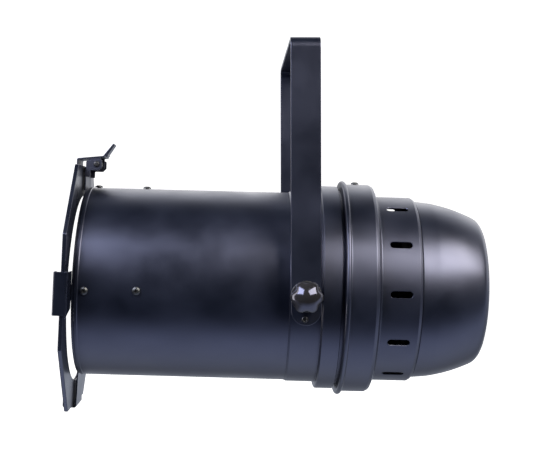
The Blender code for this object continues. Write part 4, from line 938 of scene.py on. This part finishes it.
def build_inlet():
    """The mains inlet: a shrouded well with three blades."""
    back = 164.0
    shroud = facing_rear(slab(rounded_box(0, INLET_Z, INLET_WIDE, INLET_HIGH, 1.5),
                              FLANGE[1] - back, 0.3), (FLANGE[1] + back) / 2)
    rim = facing_rear(slab(rounded_box(0, INLET_Z, INLET_WIDE, INLET_HIGH, 2.5, 2.4), 1.3, 0.35),
                      FLANGE[0] + 0.65)
    well = facing_rear(slab(rounded_box(0, INLET_Z, INLET_WIDE, INLET_HIGH, 2.5, -2.0), 20.0, 0.1),
                       FLANGE[1] - 5.0)
    bm = boolean(boolean(shroud, rim, 'UNION'), well)
    for y, z in ((-7, -2), (0, 2), (7, -2)):
        blade = rounded_box(y, INLET_Z + z, 2.0, 4.0, 0.4)
        bm = joined(bm, facing_rear(slab(blade, 12.0, 0.3), FLANGE[1] - 10.0))
    piece("mains_inlet", bm, MOULDED, stands_for="power_inlet")


def build_fuse():
    """The fuse holder's barrel behind the panel, and its slotted bayonet cap."""
    holder = [(168.0, 0), (168.0, 4.6), (FLANGE[0] - 2.0, 4.6, 0.2),
              (FLANGE[0] - 2.0, FUSE_RADIUS, 0.3), (166.0, FUSE_RADIUS, 0.4), (166.0, 0)]
    at_fuse = shift(0, 0, FUSE_Z)
    piece("fuse_barrel", moved(revolve(rounded(holder), SMALL), at_fuse), MOULDED,
          stands_for="fuse_holder")
    top = 188.4
    cap = [(top, 0), (top, 5.9, 0.4), (top - 0.5, 6.6, 0.2), (FLANGE[0], 7.2, 0.2),
           (FLANGE[0], 4.3), (172.0, 4.3, 0.3), (172.0, 0)]
    slot = facing_rear(slab([(-4.5, -0.7), (4.5, -0.7), (4.5, 0.7), (-4.5, 0.7)], 1.8, 0.1),
                       top + 0.1)
    bm = boolean(revolve(rounded(cap), MEDIUM, lambda x, a: 0.12 * cos(28 * a)
                         if x > FLANGE[0] - 0.1 else 0.0), slot)
    piece("fuse_cap_slotted", moved(bm, at_fuse), MOULDED, "fuse_cap", stands_for="fuse_cap")


# ---------------------------------- CAD pieces kept as they are

def dress_inner_parts():
    """What is only glimpsed through the slots keeps its CAD shape and gets a finish."""
    # The bulkhead, heatsink and driver tray take the darker, duller black: painted shade inside the
    # housing
    for name, material in (("led_board", BOARD), ("bulkhead", INNER_SHADE_BLACK), ("heatsink", INNER_SHADE_BLACK),
                           ("fan_frame", MOULDED), ("fan_rotor", MOULDED), ("driver_tray", INNER_SHADE_BLACK),
                           ("led_driver", ALLOY), ("control_board", BOARD)):
        thing = frame["nodes"][name]
        thing.data.materials.clear()
        thing.data.materials.append(material)


# ---------------------------------- stage, camera, light

CAMERA_TURNS = (1.98, 0.52, -0.12)               # yaw, pitch and roll
LAMP_SEEN = Vector((25.65, 1177.5, -64.7)) * MM  # right, forward, up
CAMERA_LENS = (72.56, 36.0)                      # focal length and sensor width


def build_camera():
    """Fitted to the photograph: where the lamp's middle is seen, and three turns."""
    yaw, pitch, roll = (radians(angle) for angle in CAMERA_TURNS)
    rows = (Matrix.Rotation(roll, 3, 'Y') @ Matrix.Rotation(pitch, 3, 'X')
            @ Matrix.Rotation(yaw, 3, 'Z'))
    right, forward, up = rows
    place = Matrix((right, up, -forward)).transposed().to_4x4()
    place.translation = LAMP.translation - rows.transposed() @ LAMP_SEEN
    data = bpy.data.cameras.new("camera")
    data.lens, data.sensor_width = CAMERA_LENS
    camera = bpy.data.objects.new("camera", data)
    camera.matrix_world = place
    bpy.context.scene.collection.objects.link(camera)
    bpy.context.scene.camera = camera


WARM = (1.0, 0.91, 0.72)
# Name, azimuth to the right of the viewer, elevation, distance, width, height, watts and colour
SOFTBOXES = (("right_softbox", 45, 35, 1.5, 1.3, 0.8, 60, WARM),
             ("left_softbox", -50, 36, 1.5, 1.0, 0.8, 44, (1.0, 1.0, 1.0)),
             ("left_strip", -84, 8, 1.6, 0.35, 1.8, 20, WARM))


def softbox(name, azimuth, elevation, distance, width, height, power, colour):
    """A rectangular light aimed at the lamp."""
    turn = radians(azimuth)
    rise = radians(elevation)
    way = Vector((sin(turn) * cos(rise), -cos(turn) * cos(rise), sin(rise)))
    data = bpy.data.lights.new(name, 'AREA')
    data.shape = 'RECTANGLE'
    data.size = width
    data.size_y = height
    data.energy = power
    data.color = colour
    light = bpy.data.objects.new(name, data)
    light.matrix_world = (Matrix.Translation(PIVOT + way * distance)
                          @ way.to_track_quat('Z', 'Y').to_matrix().to_4x4())
    light.visible_camera = False
    bpy.context.scene.collection.objects.link(light)


# How bright the room is round the lamp's axis: degrees from the viewer (0) over the top (90)
# to the backdrop (180) and under it (-90), and the brightness there
ROOM = ((-180, 0.9), (-150, 0.6), (-130, 0.3), (-112, 0.9), (-92, 1.5), (-68, 1.7), (-54, 0.8),
        (-40, 0.02), (0, 0.01), (30, 0.02), (80, 0.02), (106, 0.02), (122, 0.5), (136, 2.0),
        (160, 2.1), (180, 0.9))
LOW_TINT, LOW_ANGLE = (0.82, 0.88, 1.0), -40    # the room's colour below this angle
DARK_END = ((0.35, 0.7), 0.2)   # from where to where it darkens towards the front, and to what


def build_room():
    """The light that the room gives back, round the X axis and darker towards the front."""
    world = bpy.data.worlds.new("studio_room")
    world.use_nodes = True
    tree = world.node_tree
    links = tree.links
    where = node(tree, 'ShaderNodeTexCoord')
    parts = node(tree, 'ShaderNodeSeparateXYZ')
    links.new(where.outputs["Generated"], parts.inputs["Vector"])
    viewer = node(tree, 'ShaderNodeMath', {1: -1.0}, 'MULTIPLY')
    links.new(parts.outputs["Y"], viewer.inputs[0])
    around = node(tree, 'ShaderNodeMath', operation='ARCTAN2')
    links.new(parts.outputs["Z"], around.inputs[0])
    links.new(viewer.outputs["Value"], around.inputs[1])
    scaled = node(tree, 'ShaderNodeMapRange', {"From Min": -pi, "From Max": pi})
    links.new(around.outputs["Value"], scaled.inputs["Value"])
    ramp = node(tree, 'ShaderNodeValToRGB')
    brightest = max(value for _, value in ROOM)
    stops = ramp.color_ramp.elements
    while len(stops) < len(ROOM):
        stops.new(0.5)
    for stop, (angle, value) in zip(stops, ROOM):
        stop.position = (angle + 180) / 360
        tint = LOW_TINT if angle < LOW_ANGLE else (1.0, 1.0, 1.0)
        stop.color = (*[value / brightest * part for part in tint], 1.0)
    links.new(scaled.outputs["Result"], ramp.inputs["Fac"])
    front = node(tree, 'ShaderNodeMath', {1: -1.0}, 'MULTIPLY')
    links.new(parts.outputs["X"], front.inputs[0])
    (begins, ends), left = DARK_END
    fall = node(tree, 'ShaderNodeMapRange', {"From Min": begins, "From Max": ends,
                                             "To Min": brightest, "To Max": left * brightest})
    links.new(front.outputs["Value"], fall.inputs["Value"])
    background = tree.nodes["Background"]
    links.new(fall.outputs["Result"], background.inputs["Strength"])
    links.new(ramp.outputs["Color"], background.inputs["Color"])
    bpy.context.scene.world = world


def build_stage():
    """A pale floor and a pale cyclorama; the object only mirrors the room and the softboxes."""
    paper = bpy.data.materials.new("white_paper")
    paper.use_nodes = True
    fill(paper.node_tree.nodes["Principled BSDF"],
         {"Base Color": (0.8, 0.8, 0.8, 1), "Roughness": 0.9, "Emission Color": (1, 1, 1, 1),
          "Emission Strength": 1.0})
    floor = bmesh.new()
    bmesh.ops.create_grid(floor, x_segments=8, y_segments=8, size=7.0)
    bmesh.ops.translate(floor, verts=floor.verts, vec=(0, 0, FLOOR))
    wall = bmesh.new()
    bmesh.ops.create_uvsphere(wall, u_segments=48, v_segments=24, radius=7.5)
    for name, bm in (("pale_floor", floor), ("pale_cyclorama", wall)):
        for face in bm.faces:
            face.smooth = True
        thing = to_object(bm, name)
        thing.data.materials.append(paper)
        thing.visible_glossy = False
        thing.visible_diffuse = False
        thing.visible_transmission = False
        thing.visible_shadow = False


def build_lights():
    build_room()
    for light in SOFTBOXES:
        softbox(*light)
    bpy.context.scene.view_settings.view_transform = 'Standard'


build_yoke()
build_arm_hardware()
build_barrel()
build_housing()
build_bell()
build_vent_ring()
build_dome()
build_screws()
build_colour_frame()
build_clips()
build_latch()
build_optics()
build_panel()
build_controls()
build_sockets()
dress_inner_parts()
build_camera()
build_stage()
build_lights()
